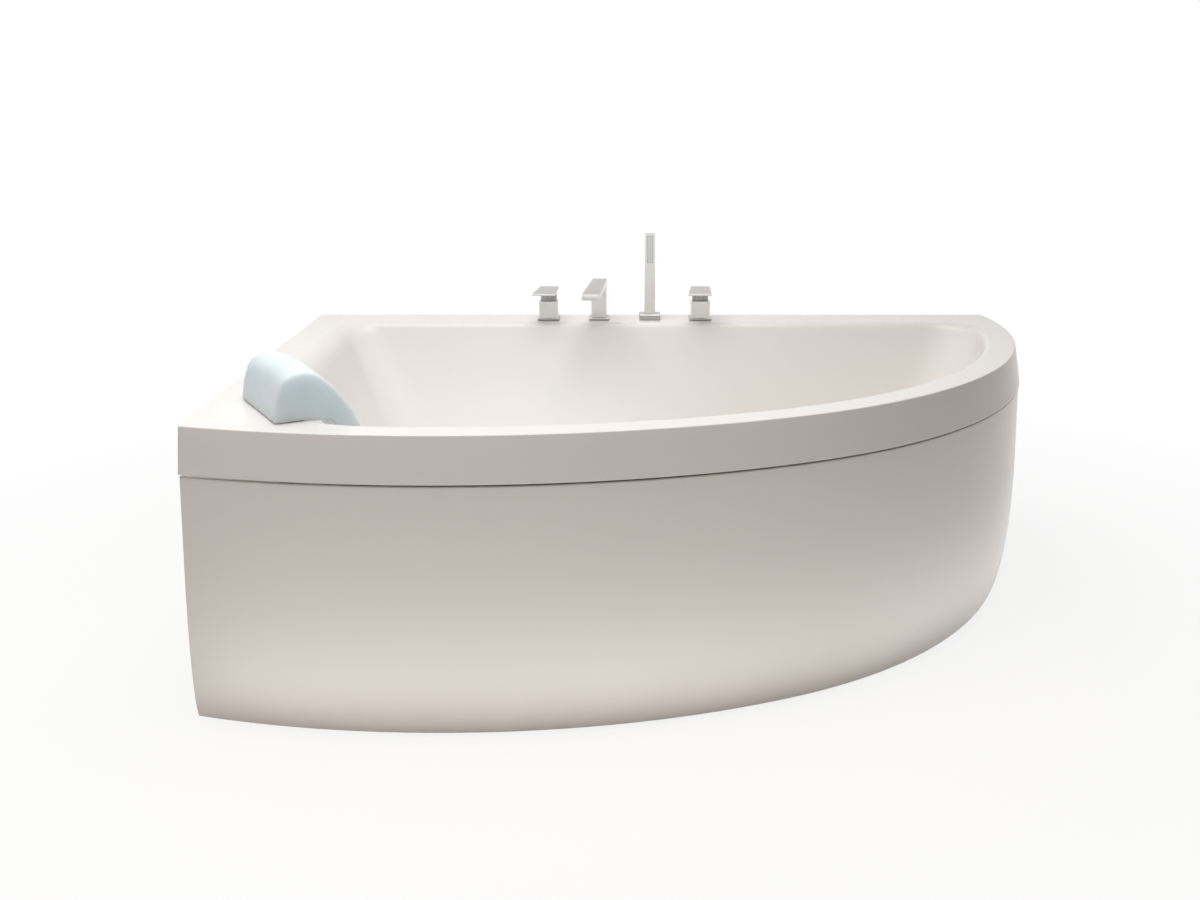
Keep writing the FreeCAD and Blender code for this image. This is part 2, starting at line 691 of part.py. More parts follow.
# ---------------------------------------------------------------- timber and frame
def base_board():
    outline = basin_section(BASIN_DEPTH, -BOARD_INSET, BOARD_UNDERSIDE)
    board = Part.Face(outline).extrude(Vector(0, 0, BOARD_THICKNESS))
    opening = DRAIN_BODY_RADIUS + BOARD_INSET
    return board.cut(rod(opening, BOARD_UNDERSIDE - OVERCUT, SHELL_UNDERSIDE + OVERCUT, DRAIN.x, DRAIN.y))


def rim_batten():
    return band_solid(-BATTEN_INSET, -BATTEN_INSET - BATTEN_WIDTH, DECK_UNDERSIDE - BATTEN_HEIGHT,
                      DECK_UNDERSIDE, BATTEN_INSET)


def tap_ledge_board():
    top = DECK_UNDERSIDE
    y_high = BACK - LEDGE_BOARD_WALL_GAP
    board = box(MIXER_X - LEDGE_BOARD_OVERHANG, DIVERTER_X + LEDGE_BOARD_OVERHANG,
                y_high - LEDGE_BOARD_WIDTH, y_high, top - LEDGE_BOARD_THICKNESS, top)
    for x in TAP_X:
        board = board.cut(rod(HOLE_RADIUS, top - LEDGE_BOARD_THICKNESS - OVERCUT, top + OVERCUT, x, TAP_Y))
    return board


def rail_along_x(x_low, x_high, y):
    half = RAIL / 2.0
    inner = half - RAIL_WALL
    middle = (RAIL_TOP + RAIL_BOTTOM) / 2.0
    outside = box(x_low, x_high, y - half, y + half, RAIL_BOTTOM, RAIL_TOP)
    inside = box(x_low - OVERCUT, x_high + OVERCUT, y - inner, y + inner, middle - inner, middle + inner)
    return outside.cut(inside)


def screw_places():
    """Places of the screws along both rails, spread over the width of the board there."""
    outline = Part.Face(basin_section(BASIN_DEPTH, -BOARD_INSET, 0.0))
    places = []
    for y in (BACK_RAIL_Y, FRONT_RAIL_Y):
        chord = outline.common(line(Vector(LEFT, y, 0), Vector(-LEFT, y, 0))).BoundBox
        first = chord.XMin + SCREW_INSET
        pitch = (chord.XMax - SCREW_INSET - first) / (SCREWS_PER_RAIL - 1)
        places += [(first + pitch * k, y) for k in range(SCREWS_PER_RAIL)]
    return places


def foot_places():
    return [(RAIL_LEFT + FOOT_INSET, BACK_RAIL_Y), (BACK_RAIL_RIGHT - FOOT_INSET, BACK_RAIL_Y),
            (RAIL_LEFT + FOOT_INSET, FRONT_RAIL_Y), (FRONT_RAIL_RIGHT - FOOT_INSET, FRONT_RAIL_Y)]


def frame_rail(x_high, y):
    rail = rail_along_x(RAIL_LEFT, x_high, y)
    for x, hole_y in screw_places():
        if abs(hole_y - y) < RAIL:
            rail = rail.cut(rod(SCREW_RADIUS, RAIL_BOTTOM - OVERCUT, RAIL_TOP + OVERCUT, x, y))
    for x, foot_y in foot_places():
        if abs(foot_y - y) < RAIL:
            rail = rail.cut(rod(STUD_RADIUS + RUNNING_FIT, RAIL_BOTTOM - OVERCUT,
                                RAIL_BOTTOM + RAIL_WALL + OVERCUT, x, y))
    return rail


def frame_cross_rails():
    y_high = BACK_RAIL_Y - RAIL / 2.0
    y_low = FRONT_RAIL_Y + RAIL / 2.0
    rails = []
    for x in (RAIL_LEFT + CROSS_RAIL_LEFT_INSET, FRONT_RAIL_RIGHT - CROSS_RAIL_RIGHT_INSET):
        rail = rail_along_x(0.0, y_high - y_low, 0.0)
        rail.rotate(Vector(0, 0, 0), Vector(0, 0, 1), 90.0)
        rail.translate(Vector(x, y_low, 0))
        rails.append(rail)
    return group(rails)


def frame_screws():
    screws = []
    for x, y in screw_places():
        head = rod(SCREW_HEAD_RADIUS, RAIL_BOTTOM - SCREW_HEAD, RAIL_BOTTOM, x, y)
        shaft = rod(SCREW_RADIUS, RAIL_BOTTOM - SCREW_HEAD / 2.0, RAIL_TOP + SCREW_BITE, x, y)
        screws.append(fuse(head, shaft))
    return group(screws)


def screw_pilots(shape):
    for x, y in screw_places():
        shape = shape.cut(rod(SCREW_RADIUS, RAIL_TOP - OVERCUT, RAIL_TOP + SCREW_BITE, x, y))
    return shape


def foot_nuts():
    nuts = []
    for x, y in foot_places():
        nut = hexagon(FOOT_NUT_ACROSS, RAIL_BOTTOM - FOOT_NUT_HEIGHT, RAIL_BOTTOM, x, y)
        bore = rod(STUD_RADIUS + RUNNING_FIT, RAIL_BOTTOM - FOOT_NUT_HEIGHT - OVERCUT,
                   RAIL_BOTTOM + OVERCUT, x, y)
        nuts.append(nut.cut(bore))
    return group(nuts)


def levelling_stud(x, y):
    top = RAIL_TOP - RAIL_WALL - STUD_TOP_ROOM
    return rod(STUD_RADIUS, PAD_FLOOR, top, x, y)


def foot_pad(x, y):
    pad = rod(PAD_RADIUS, 0.0, PAD_HEIGHT, x, y)
    top_edge = [e for e in pad.Edges if e.BoundBox.ZMin > PAD_HEIGHT - 0.01]
    pad = pad.makeFillet(PAD_FLOOR / 2.0, top_edge)
    return pad.cut(rod(STUD_RADIUS, PAD_FLOOR, PAD_HEIGHT + OVERCUT, x, y))


# ---------------------------------------------------------------- panel fixings
def radial_box(centre, degrees, inner, outer, width, z_low, z_high):
    """Box from one radius to another along a direction from the centre."""
    block = box(inner, outer, -width / 2.0, width / 2.0, z_low, z_high)
    block.rotate(Vector(0, 0, 0), Vector(0, 0, 1), degrees)
    block.translate(Vector(centre.x, centre.y, 0))
    return block


def panel_clips():
    """Spring clips on the back of the batten that hook under the panel's flange."""
    clips = []
    join = direction_angle(JOIN_DIRECTION)
    front_share = (front_finish(0.0, 0.0) - join) / CLIPS_ON_FRONT
    end_share = (end_start(0.0, 0.0) - join) / CLIPS_ON_END
    places = [(FRONT_CENTRE, FRONT_RADIUS, join + front_share * (k + 0.5))
              for k in range(CLIPS_ON_FRONT)]
    places += [(END_CENTRE, END_RADIUS, join + end_share * (k + 0.5))
               for k in range(CLIPS_ON_END)]
    flange_underside = PANEL_TOP - PANEL_FLANGE_THICKNESS
    for centre, radius, degrees in places:
        outer = radius - BATTEN_INSET - BATTEN_WIDTH - CLIP_SEAT_GAP
        plate = radial_box(centre, degrees, outer - CLIP_THICKNESS, outer, CLIP_WIDTH,
                           flange_underside - CLIP_THICKNESS, DECK_UNDERSIDE - CLIP_THICKNESS)
        hook = radial_box(centre, degrees, outer - CLIP_THICKNESS, outer + CLIP_HOOK_REACH,
                          CLIP_WIDTH, flange_underside - CLIP_THICKNESS, flange_underside)
        clips.append(fuse(plate, hook))
    return group(clips)


def panel_arm_places():
    """Centre, radius, direction and inner end of each arm that holds the panel's foot."""
    feet = [x for x, y in foot_places() if y == FRONT_RAIL_Y]
    screws = [x for x, y in screw_places() if y == FRONT_RAIL_Y]
    places = []
    for x in ((feet[0] + screws[0]) / 2.0, (screws[-1] + feet[1]) / 2.0):
        places.append((FRONT_CENTRE, FRONT_RADIUS, Vector(x, FRONT_RAIL_Y, 0), RAIL))
    back_end = Vector(BACK_RAIL_RIGHT - ARM_LAP / 2.0, BACK_RAIL_Y, 0)
    places.append((END_CENTRE, END_RADIUS, back_end, ARM_LAP / 2.0))
    arms = []
    for centre, radius, on_rail, lap in places:
        spoke = on_rail - Vector(centre.x, centre.y, 0)
        arms.append((centre, radius, direction_angle(spoke), spoke.Length - lap))
    return arms


def catch_outer_radius(radius):
    inner_face = panel_offset(CATCH_HEIGHT + CATCH_RADIUS) - PANEL_THICKNESS
    lowest = panel_offset(CATCH_HEIGHT - CATCH_RADIUS) - PANEL_THICKNESS
    return radius + min(inner_face, lowest) - RUNNING_FIT * 4.0


def panel_arms():
    arms = []
    z_low = RAIL_BOTTOM - ARM_THICKNESS
    for centre, radius, degrees, inner in panel_arm_places():
        outer = catch_outer_radius(radius) - CATCH_LENGTH
        strip = radial_box(centre, degrees, inner, outer, RAIL, z_low, RAIL_BOTTOM)
        tab = radial_box(centre, degrees, outer - ARM_THICKNESS, outer, RAIL,
                         RAIL_BOTTOM - ARM_TAB_HEIGHT, RAIL_BOTTOM)
        arms.append(fuse(strip, tab))
    return group(arms)


def panel_catches():
    """Round magnet catches between each arm's tab and the back of the panel."""
    catches = []
    for centre, radius, degrees, _ in panel_arm_places():
        outer = catch_outer_radius(radius)
        start = polar(centre, outer - CATCH_LENGTH, degrees, CATCH_HEIGHT)
        outward = polar(Vector(0, 0, 0), 1.0, degrees)
        catches.append(rod_along(CATCH_RADIUS, start, outward, CATCH_LENGTH))
    return group(catches)


def wall_bracket():
    """Angle under the shell's lip, with its back on the plane y = 0 and two screw holes."""
    half = BRACKET_LENGTH / 2.0
    top = RIM_HEIGHT - LIP_DEPTH
    shelf = box(-half, half, -BRACKET_REACH, 0.0, top - BRACKET_THICKNESS, top)
    plate = box(-half, half, -BRACKET_THICKNESS, 0.0, top - BRACKET_DROP, top)
    bracket = fuse(shelf, plate)
    for side in (-1, 1):
        start = Vector(side * BRACKET_HOLE_SPACING / 2.0, OVERCUT, top - BRACKET_DROP / 2.0)
        bracket = bracket.cut(rod_along(BRACKET_HOLE_RADIUS, start, Vector(0, -1, 0),
                                        BRACKET_THICKNESS + OVERCUT * 2.0))
    return bracket


def back_bracket_places():
    return LEFT + BACK_BRACKET_INSET, LEFT + RIM_LENGTH - BACK_BRACKET_INSET


def wall_brackets():
    brackets = []
    for x in back_bracket_places():
        bracket = wall_bracket()
        bracket.translate(Vector(x, BACK, 0))
        brackets.append(bracket)
    bracket = wall_bracket()
    bracket.rotate(Vector(0, 0, 0), Vector(0, 0, 1), 90.0)
    bracket.translate(Vector(LEFT, BACK - LEFT_BRACKET_PLACE, 0))
    brackets.append(bracket)
    return group(brackets)


# ---------------------------------------------------------------- deck taps
GASKET_TOP = RIM_HEIGHT + GASKET_THICKNESS
ESCUTCHEON_TOP = GASKET_TOP + ESCUTCHEON_THICKNESS
CUBE_TOP = ESCUTCHEON_TOP + CUBE_HEIGHT
COLLAR_BOTTOM = CUBE_TOP + COLLAR_GAP
COLLAR_TOP = COLLAR_BOTTOM + COLLAR_HEIGHT
LEVER_BOTTOM = COLLAR_TOP + LEVER_GAP
PIVOT_Z = LEVER_BOTTOM - PIVOT_DROP
PIVOT_Y = TAP_Y + PIVOT_BACK
VALVE_TOP = DECK_UNDERSIDE - VALVE_DROP
VALVE_BOTTOM = VALVE_TOP - VALVE_HEIGHT
SHOWER_BASE = GASKET_TOP + SHOWER_ESCUTCHEON_HEIGHT


def turned(shape, x):
    """The shape turned about the upright axis of the tap at x."""
    turned_shape = shape.copy()
    turned_shape.rotate(Vector(x, TAP_Y, 0), Vector(0, 0, 1), TAP_TURN)
    return turned_shape


def square_escutcheon(x, size, hole_radius):
    plate = rounded_block(x, TAP_Y, size, size, GASKET_TOP, ESCUTCHEON_TOP,
                          TRIM_CORNER_RADIUS)
    top_edges = [e for e in plate.Edges if e.BoundBox.ZMin > ESCUTCHEON_TOP - 0.01]
    plate = plate.makeChamfer(TRIM_CHAMFER, top_edges)
    return plate.cut(rod(hole_radius, GASKET_TOP - OVERCUT, ESCUTCHEON_TOP + OVERCUT, x, TAP_Y))


def deck_gaskets():
    size = SHOWER_ESCUTCHEON_DEPTH - GASKET_INSET * 2.0
    rings = []
    for x in TAP_X:
        ring = centred_box(x, TAP_Y, size, size, RIM_HEIGHT, GASKET_TOP)
        rings.append(ring.cut(rod(HOLE_RADIUS, RIM_HEIGHT - OVERCUT, GASKET_TOP + OVERCUT, x, TAP_Y)))
    return group(rings)


def deck_nuts():
    top = DECK_UNDERSIDE - LEDGE_BOARD_THICKNESS
    nuts = []
    for x in TAP_X:
        nut = hexagon(DECK_NUT_RADIUS * 2.0, top - DECK_NUT_HEIGHT, top, x, TAP_Y)
        nuts.append(nut.cut(rod(SHANK_RADIUS, top - DECK_NUT_HEIGHT - OVERCUT, top + OVERCUT, x, TAP_Y)))
    return group(nuts)


def handle_cube(x):
    cube = rounded_block(x, TAP_Y, CUBE, CUBE, ESCUTCHEON_TOP, CUBE_TOP, TRIM_CORNER_RADIUS)
    inside = CUBE / 2.0 - CUBE_WALL
    floor = CUBE_TOP - CARTRIDGE_HEIGHT
    cube = cube.cut(rod(inside, floor, CUBE_TOP + OVERCUT, x, TAP_Y))
    return cube.cut(rod(SHANK_RADIUS, ESCUTCHEON_TOP - OVERCUT, floor + OVERCUT, x, TAP_Y))


def cartridge(x):
    floor = CUBE_TOP - CARTRIDGE_HEIGHT
    body = rod(CUBE / 2.0 - CUBE_WALL, floor, CUBE_TOP, x, TAP_Y)
    bore_bottom = COLLAR_BOTTOM - STEM_LENGTH - COLLAR_GAP
    return body.cut(rod(STEM_RADIUS + RUNNING_FIT, bore_bottom, CUBE_TOP + OVERCUT, x, TAP_Y))


def collar_blank(x):
    collar = rod(COLLAR_RADIUS, COLLAR_BOTTOM, COLLAR_TOP, x, TAP_Y)
    return fuse(collar, rod(STEM_RADIUS, COLLAR_BOTTOM - STEM_LENGTH, COLLAR_BOTTOM + OVERCUT, x, TAP_Y))


def lever_plate(x):
    """Flat lever plate, wider at its front."""
    back = TAP_Y + LEVER_BACK_REACH
    front = TAP_Y - LEVER_FRONT_REACH
    corners = [(x - LEVER_BACK_WIDTH / 2.0, back), (x + LEVER_BACK_WIDTH / 2.0, back),
               (x + LEVER_FRONT_WIDTH / 2.0, front), (x - LEVER_FRONT_WIDTH / 2.0, front)]
    points = [Vector(px, py, LEVER_BOTTOM) for px, py in corners]
    plate = Part.Face(Part.makePolygon(points + points[:1])).extrude(Vector(0, 0, LEVER_THICKNESS))
    return plate.makeChamfer(LEVER_CHAMFER, plate.Edges)


def mixer_collar():
    """Turning collar under the lever, slotted for the tongue and cleared behind the pivot."""
    x = MIXER_X
    half_slot = TONGUE_WIDTH / 2.0 + TONGUE_SIDE_GAP
    slot_depth = PIVOT_DROP + TONGUE_RADIUS + TONGUE_END_GAP
    slot = box(x - half_slot, x + half_slot, PIVOT_Y - TONGUE_RADIUS * 2.0,
               TAP_Y + COLLAR_RADIUS + OVERCUT, LEVER_BOTTOM - slot_depth, COLLAR_TOP + OVERCUT)
    step_z = PIVOT_Z + PIVOT_RADIUS + TONGUE_END_GAP
    step = box(x - COLLAR_RADIUS - OVERCUT, x + COLLAR_RADIUS + OVERCUT, PIVOT_Y - PIVOT_RADIUS,
               TAP_Y + COLLAR_RADIUS + OVERCUT, step_z, COLLAR_TOP + OVERCUT)
    across = rod_along(PIVOT_RADIUS, Vector(x - COLLAR_RADIUS - OVERCUT, PIVOT_Y, PIVOT_Z),
                       Vector(1, 0, 0), (COLLAR_RADIUS + OVERCUT) * 2.0)
    return turned(collar_blank(x).cut(slot).cut(step).cut(across), x)


def mixer_lever():
    x = MIXER_X
    half = TONGUE_WIDTH / 2.0
    eye = rod_along(TONGUE_RADIUS, Vector(x - half, PIVOT_Y, PIVOT_Z), Vector(1, 0, 0), TONGUE_WIDTH)
    web = box(x - half, x + half, PIVOT_Y - TONGUE_RADIUS, PIVOT_Y + TONGUE_RADIUS,
              PIVOT_Z, LEVER_BOTTOM + LEVER_THICKNESS / 2.0)
    bore = rod_along(PIVOT_RADIUS + RUNNING_FIT, Vector(x - half - OVERCUT, PIVOT_Y, PIVOT_Z),
                     Vector(1, 0, 0), TONGUE_WIDTH + 2.0)
    return turned(fuse(lever_plate(x), eye, web).cut(bore), x)


def mixer_lever_pin():
    half = math.sqrt(COLLAR_RADIUS ** 2 - (PIVOT_BACK + PIVOT_RADIUS) ** 2) - PIN_INSET
    pin = rod_along(PIVOT_RADIUS, Vector(MIXER_X - half, PIVOT_Y, PIVOT_Z), Vector(1, 0, 0),
                    half * 2.0)
    return turned(pin, MIXER_X)


def diverter_handle():
    """Turning handle in one piece: collar, stem and lever plate."""
    neck = rod(COLLAR_RADIUS / 2.0, COLLAR_TOP - OVERCUT, LEVER_BOTTOM + OVERCUT, DIVERTER_X, TAP_Y)
    return turned(fuse(collar_blank(DIVERTER_X), neck, lever_plate(DIVERTER_X)), DIVERTER_X)


def valve_block(x, stub_places):
    """Brass block under the deck with its threaded shank, stubs and bores."""
    shank_top = CUBE_TOP - CARTRIDGE_HEIGHT
    block = rounded_block(x, TAP_Y, VALVE_LENGTH, VALVE_DEPTH, VALVE_BOTTOM, VALVE_TOP,
                          VALVE_EDGE_RADIUS)
    shank = rod(SHANK_RADIUS, VALVE_TOP - OVERCUT, shank_top, x, TAP_Y)
    stubs = [rod(INLET_RADIUS, VALVE_BOTTOM - INLET_LENGTH, VALVE_BOTTOM + OVERCUT, x + place, TAP_Y)
             for place in stub_places]
    body = fuse(block, shank, *stubs)
    for place in stub_places:
        body = body.cut(rod(INLET_BORE, VALVE_BOTTOM - INLET_LENGTH - OVERCUT,
                            VALVE_BOTTOM + VALVE_HEIGHT / 2.0, x + place, TAP_Y))
    return body.cut(rod(INLET_BORE, VALVE_BOTTOM + VALVE_HEIGHT / 2.0, shank_top + OVERCUT, x, TAP_Y))


def link_level(number):
    return VALVE_TOP - LINK_DROP - LINK_PITCH * number


def link_tube(x_first, x_last, front_first, front_last, z):
    """Bent copper pipe from the front of one block to the front of another."""
    y_out = TAP_Y - VALVE_DEPTH / 2.0 - LINK_REACH
    points = [Vector(x_first, front_first, z), Vector(x_first, y_out, z),
              Vector(x_last, y_out, z), Vector(x_last, front_last, z)]
    return hollow_wire_tube(points, LINK_RADIUS, LINK_BORE, LINK_BEND)


def link_pipe():
    front = TAP_Y - VALVE_DEPTH / 2.0
    return link_tube(MIXER_X, DIVERTER_X - LINK_RADIUS * 2.0, front, front, link_level(0))


def spout_pipe():
    front = TAP_Y - VALVE_DEPTH / 2.0
    return link_tube(SPOUT_X, DIVERTER_X + LINK_RADIUS * 1.5, TAP_Y - SPOUT_BLOCK / 2.0, front,
                     link_level(1))


def spout_arm(x):
    """Flat spout arm, wider at its tip, seen from above as a trapezium."""
    top = RIM_HEIGHT + SPOUT_HEIGHT
    back = TAP_Y + SPOUT_COLUMN / 2.0
    front = TAP_Y - SPOUT_REACH
    corners = [(x - SPOUT_BACK_WIDTH / 2.0, back), (x + SPOUT_BACK_WIDTH / 2.0, back),
               (x + SPOUT_FRONT_WIDTH / 2.0, front), (x - SPOUT_FRONT_WIDTH / 2.0, front)]
    points = [Vector(px, py, top - SPOUT_ARM_THICKNESS) for px, py in corners]
    arm = Part.Face(Part.makePolygon(points + points[:1]))
    return arm.extrude(Vector(0, 0, SPOUT_ARM_THICKNESS))


def spout_body():
    x = SPOUT_X
    top = RIM_HEIGHT + SPOUT_HEIGHT
    arm_bottom = top - SPOUT_ARM_THICKNESS
    column = centred_box(x, TAP_Y, SPOUT_BACK_WIDTH, SPOUT_COLUMN, ESCUTCHEON_TOP,
                         arm_bottom + OVERCUT)
    body = fuse(spout_arm(x), column)
    middle = top - SPOUT_ARM_THICKNESS / 2.0
    half_channel = SPOUT_CHANNEL_HEIGHT / 2.0
    outlet_y = TAP_Y - SPOUT_REACH + AERATOR_BACKSET + AERATOR_LENGTH / 2.0
    channel = box(x - SPOUT_CHANNEL_WIDTH / 2.0, x + SPOUT_CHANNEL_WIDTH / 2.0, outlet_y,
                  TAP_Y, middle - half_channel, middle + half_channel)
    bore = rod(SPOUT_BORE, ESCUTCHEON_TOP - OVERCUT, middle, x, TAP_Y)
    socket = rod(SHANK_RADIUS, ESCUTCHEON_TOP - OVERCUT, ESCUTCHEON_TOP + SPOUT_BORE, x, TAP_Y)
    body = body.cut(channel).cut(bore).cut(socket).cut(aerator_blank(0.0))
    return turned(body, x)


def aerator_blank(proud):
    arm_bottom = RIM_HEIGHT + SPOUT_HEIGHT - SPOUT_ARM_THICKNESS
    y_low = TAP_Y - SPOUT_REACH + AERATOR_BACKSET
    return box(SPOUT_X - AERATOR_WIDTH / 2.0, SPOUT_X + AERATOR_WIDTH / 2.0, y_low,
               y_low + AERATOR_LENGTH, arm_bottom - proud, arm_bottom + AERATOR_THICKNESS - proud)


def spout_aerator():
    """Slotted insert that lets the water out in a sheet."""
    insert = aerator_blank(0.0).fuse(aerator_blank(AERATOR_PROUD)).removeSplitter()
    arm_bottom = RIM_HEIGHT + SPOUT_HEIGHT - SPOUT_ARM_THICKNESS
    y_middle = TAP_Y - SPOUT_REACH + AERATOR_BACKSET + AERATOR_LENGTH / 2.0
    slot = centred_box(SPOUT_X, y_middle, AERATOR_WIDTH * 0.8, AERATOR_LENGTH / 3.0,
                       arm_bottom - AERATOR_PROUD - OVERCUT, arm_bottom + AERATOR_THICKNESS + OVERCUT)
    return turned(insert.cut(slot), SPOUT_X)


def spout_shank():
    x = SPOUT_X
    block = rounded_block(x, TAP_Y, SPOUT_BLOCK, SPOUT_BLOCK, VALVE_BOTTOM, VALVE_TOP,
                          VALVE_EDGE_RADIUS)
    shank = rod(SHANK_RADIUS, VALVE_TOP - OVERCUT, ESCUTCHEON_TOP + SPOUT_BORE, x, TAP_Y)
    bore = rod(SPOUT_BORE, link_level(1), ESCUTCHEON_TOP + SPOUT_BORE + OVERCUT, x, TAP_Y)
    return fuse(block, shank).cut(bore)


GUIDE_BORE = SHOWER_SPIGOT_RADIUS + RUNNING_FIT


def shower_escutcheon():
    x = SHOWER_X
    plate = rounded_block(x, TAP_Y, SHOWER_ESCUTCHEON_LENGTH, SHOWER_ESCUTCHEON_DEPTH,
                          GASKET_TOP, SHOWER_BASE, TRIM_CORNER_RADIUS)
    top_edges = [e for e in plate.Edges if e.BoundBox.ZMin > SHOWER_BASE - 0.01]
    plate = plate.makeChamfer(TRIM_CHAMFER, top_edges)
    return plate.cut(rod(SHANK_RADIUS, GASKET_TOP - OVERCUT, SHOWER_BASE + OVERCUT, x, TAP_Y))


def shower_guide():
    """Threaded guide through the deck that the hand shower's spigot stands in."""
    return tube(SHANK_RADIUS, GUIDE_BORE, DECK_UNDERSIDE - GUIDE_DROP, SHOWER_BASE, SHOWER_X, TAP_Y)


def hand_shower_body():
    x = SHOWER_X
    top = RIM_HEIGHT + SHOWER_TOP
    base = SHOWER_BASE + SHOWER_SEAT_GAP
    half = SHOWER_STICK / 2.0

    def square(side, z):
        points = [Vector(x - side, TAP_Y - half, z), Vector(x + side, TAP_Y - half, z),
                  Vector(x + side, TAP_Y + half, z), Vector(x - side, TAP_Y + half, z)]
        return Part.makePolygon(points + points[:1])

    stick = Part.makeLoft([square(half, base), square(half - SHOWER_TAPER / 2.0, top)], True, True)
    stick = stick.makeChamfer(SHOWER_EDGE, stick.Edges)
    spigot_bottom = base - SHOWER_SPIGOT_LENGTH
    spigot = rod(SHOWER_SPIGOT_RADIUS, spigot_bottom, base + OVERCUT, x, TAP_Y)
    bore = rod(SHOWER_SPIGOT_RADIUS / 2.0, spigot_bottom - OVERCUT, spray_top() - SPRAY_TOP_GAP, x, TAP_Y)
    return fuse(stick, spigot).cut(bore).cut(spray_recess())


def spray_top():
    return RIM_HEIGHT + SHOWER_TOP - SPRAY_TOP_GAP


def spray_recess():
    front = TAP_Y - SHOWER_STICK / 2.0
    return box(SHOWER_X - SPRAY_WIDTH / 2.0, SHOWER_X + SPRAY_WIDTH / 2.0, front - OVERCUT,
               front + SPRAY_THICKNESS, spray_top() - SPRAY_LENGTH, spray_top())


def hand_shower_face():
    """Spray plate with its rows of nozzles."""
    front = TAP_Y - SHOWER_STICK / 2.0
    plate = box(SHOWER_X - SPRAY_WIDTH / 2.0, SHOWER_X + SPRAY_WIDTH / 2.0, front - SPRAY_PROUD,
                front + SPRAY_THICKNESS, spray_top() - SPRAY_LENGTH, spray_top())
    first_z = spray_top() - SPRAY_LENGTH / 2.0 + NOZZLE_PITCH * (NOZZLE_ROWS - 1) / 2.0
    for row in range(NOZZLE_ROWS):
        for column in range(NOZZLES_PER_ROW):
            x = SHOWER_X + NOZZLE_PITCH * (column - (NOZZLES_PER_ROW - 1) / 2.0)
            start = Vector(x, front - SPRAY_PROUD - OVERCUT, first_z - NOZZLE_PITCH * row)
            plate = plate.cut(rod_along(NOZZLE_RADIUS, start, Vector(0, 1, 0),
                                        SPRAY_THICKNESS + SPRAY_PROUD + 2.0))
    return plate


def hand_shower_connector():
    """Hose connector under the spigot."""
    spigot_bottom = SHOWER_BASE + SHOWER_SEAT_GAP - SHOWER_SPIGOT_LENGTH
    return tube(CONNECTOR_RADIUS, SHOWER_SPIGOT_RADIUS / 2.0, spigot_bottom - CONNECTOR_LENGTH,
                spigot_bottom, SHOWER_X, TAP_Y)


# ---------------------------------------------------------------- waste and overflow
DRAIN_BODY_TOP = SHELL_UNDERSIDE - WASTE_GASKET
DRAIN_BODY_BOTTOM = DRAIN_BODY_TOP - DRAIN_BODY_HEIGHT
OVERFLOW_RUN_Z = SHELL_UNDERSIDE - OVERFLOW_PIPE_DROP
PLUG_BOTTOM = BASIN_FLOOR + FLANGE_THICKNESS + SEAL_THICKNESS
FLANGE_TAIL_BOTTOM = DRAIN_BODY_TOP - TAIL_DEPTH
BRIDGE_TOP = FLANGE_TAIL_BOTTOM + BRIDGE_HEIGHT


def at_drain(shape):
    shape.translate(DRAIN)
    return shape


def drain_flange():
    """Strainer flange: a dished rim, a tail into the drain body and a bridge for the stem."""
    rim = rod(FLANGE_RADIUS, BASIN_FLOOR, BASIN_FLOOR + FLANGE_THICKNESS)
    tail = rod(TAIL_RADIUS, FLANGE_TAIL_BOTTOM, BASIN_FLOOR + OVERCUT)
    bore = rod(TAIL_RADIUS - TAIL_WALL, FLANGE_TAIL_BOTTOM - OVERCUT,
               BASIN_FLOOR + FLANGE_THICKNESS + OVERCUT)
    ring = fuse(rim, tail).cut(bore)
    outer_edge = [e for e in ring.Edges if e.BoundBox.ZMin > BASIN_FLOOR + FLANGE_THICKNESS - 0.01
                  and e.BoundBox.XLength > FLANGE_RADIUS * 2.0 - OVERCUT]
    ring = ring.makeFillet(FLANGE_DISH, outer_edge)
    half_bridge = PLUG_STEM_RADIUS + BRIDGE_WALL
    bridge = box(-TAIL_RADIUS + OVERCUT, TAIL_RADIUS - OVERCUT, -half_bridge, half_bridge,
                 FLANGE_TAIL_BOTTOM, BRIDGE_TOP)
    guide = rod(PLUG_STEM_RADIUS + RUNNING_FIT, FLANGE_TAIL_BOTTOM - OVERCUT, BRIDGE_TOP + OVERCUT)
    return at_drain(fuse(ring, bridge).cut(guide))


def drain_gasket():
    return at_drain(tube(DRAIN_BODY_RADIUS, DRAIN_HOLE_RADIUS, DRAIN_BODY_TOP, SHELL_UNDERSIDE))


def waste_inward():
    """Way from the end of the tub to the drain."""
    return (waste_point(DRAIN_INSET, 0.0) - waste_point(0.0, 0.0)).normalize()


def beside_drain(reach, aside=0.0):
    """Point on the low run, at a distance from the drain's axis towards the overflow."""
    return waste_point(DRAIN_INSET - reach, OVERFLOW_RUN_Z, aside)


def cable_end_reach():
    """Distance of the cable's lower end from the drain's axis, along the run."""
    return math.sqrt(DRAIN_BODY_RADIUS ** 2 - CABLE_ASIDE ** 2) - CABLE_BITE


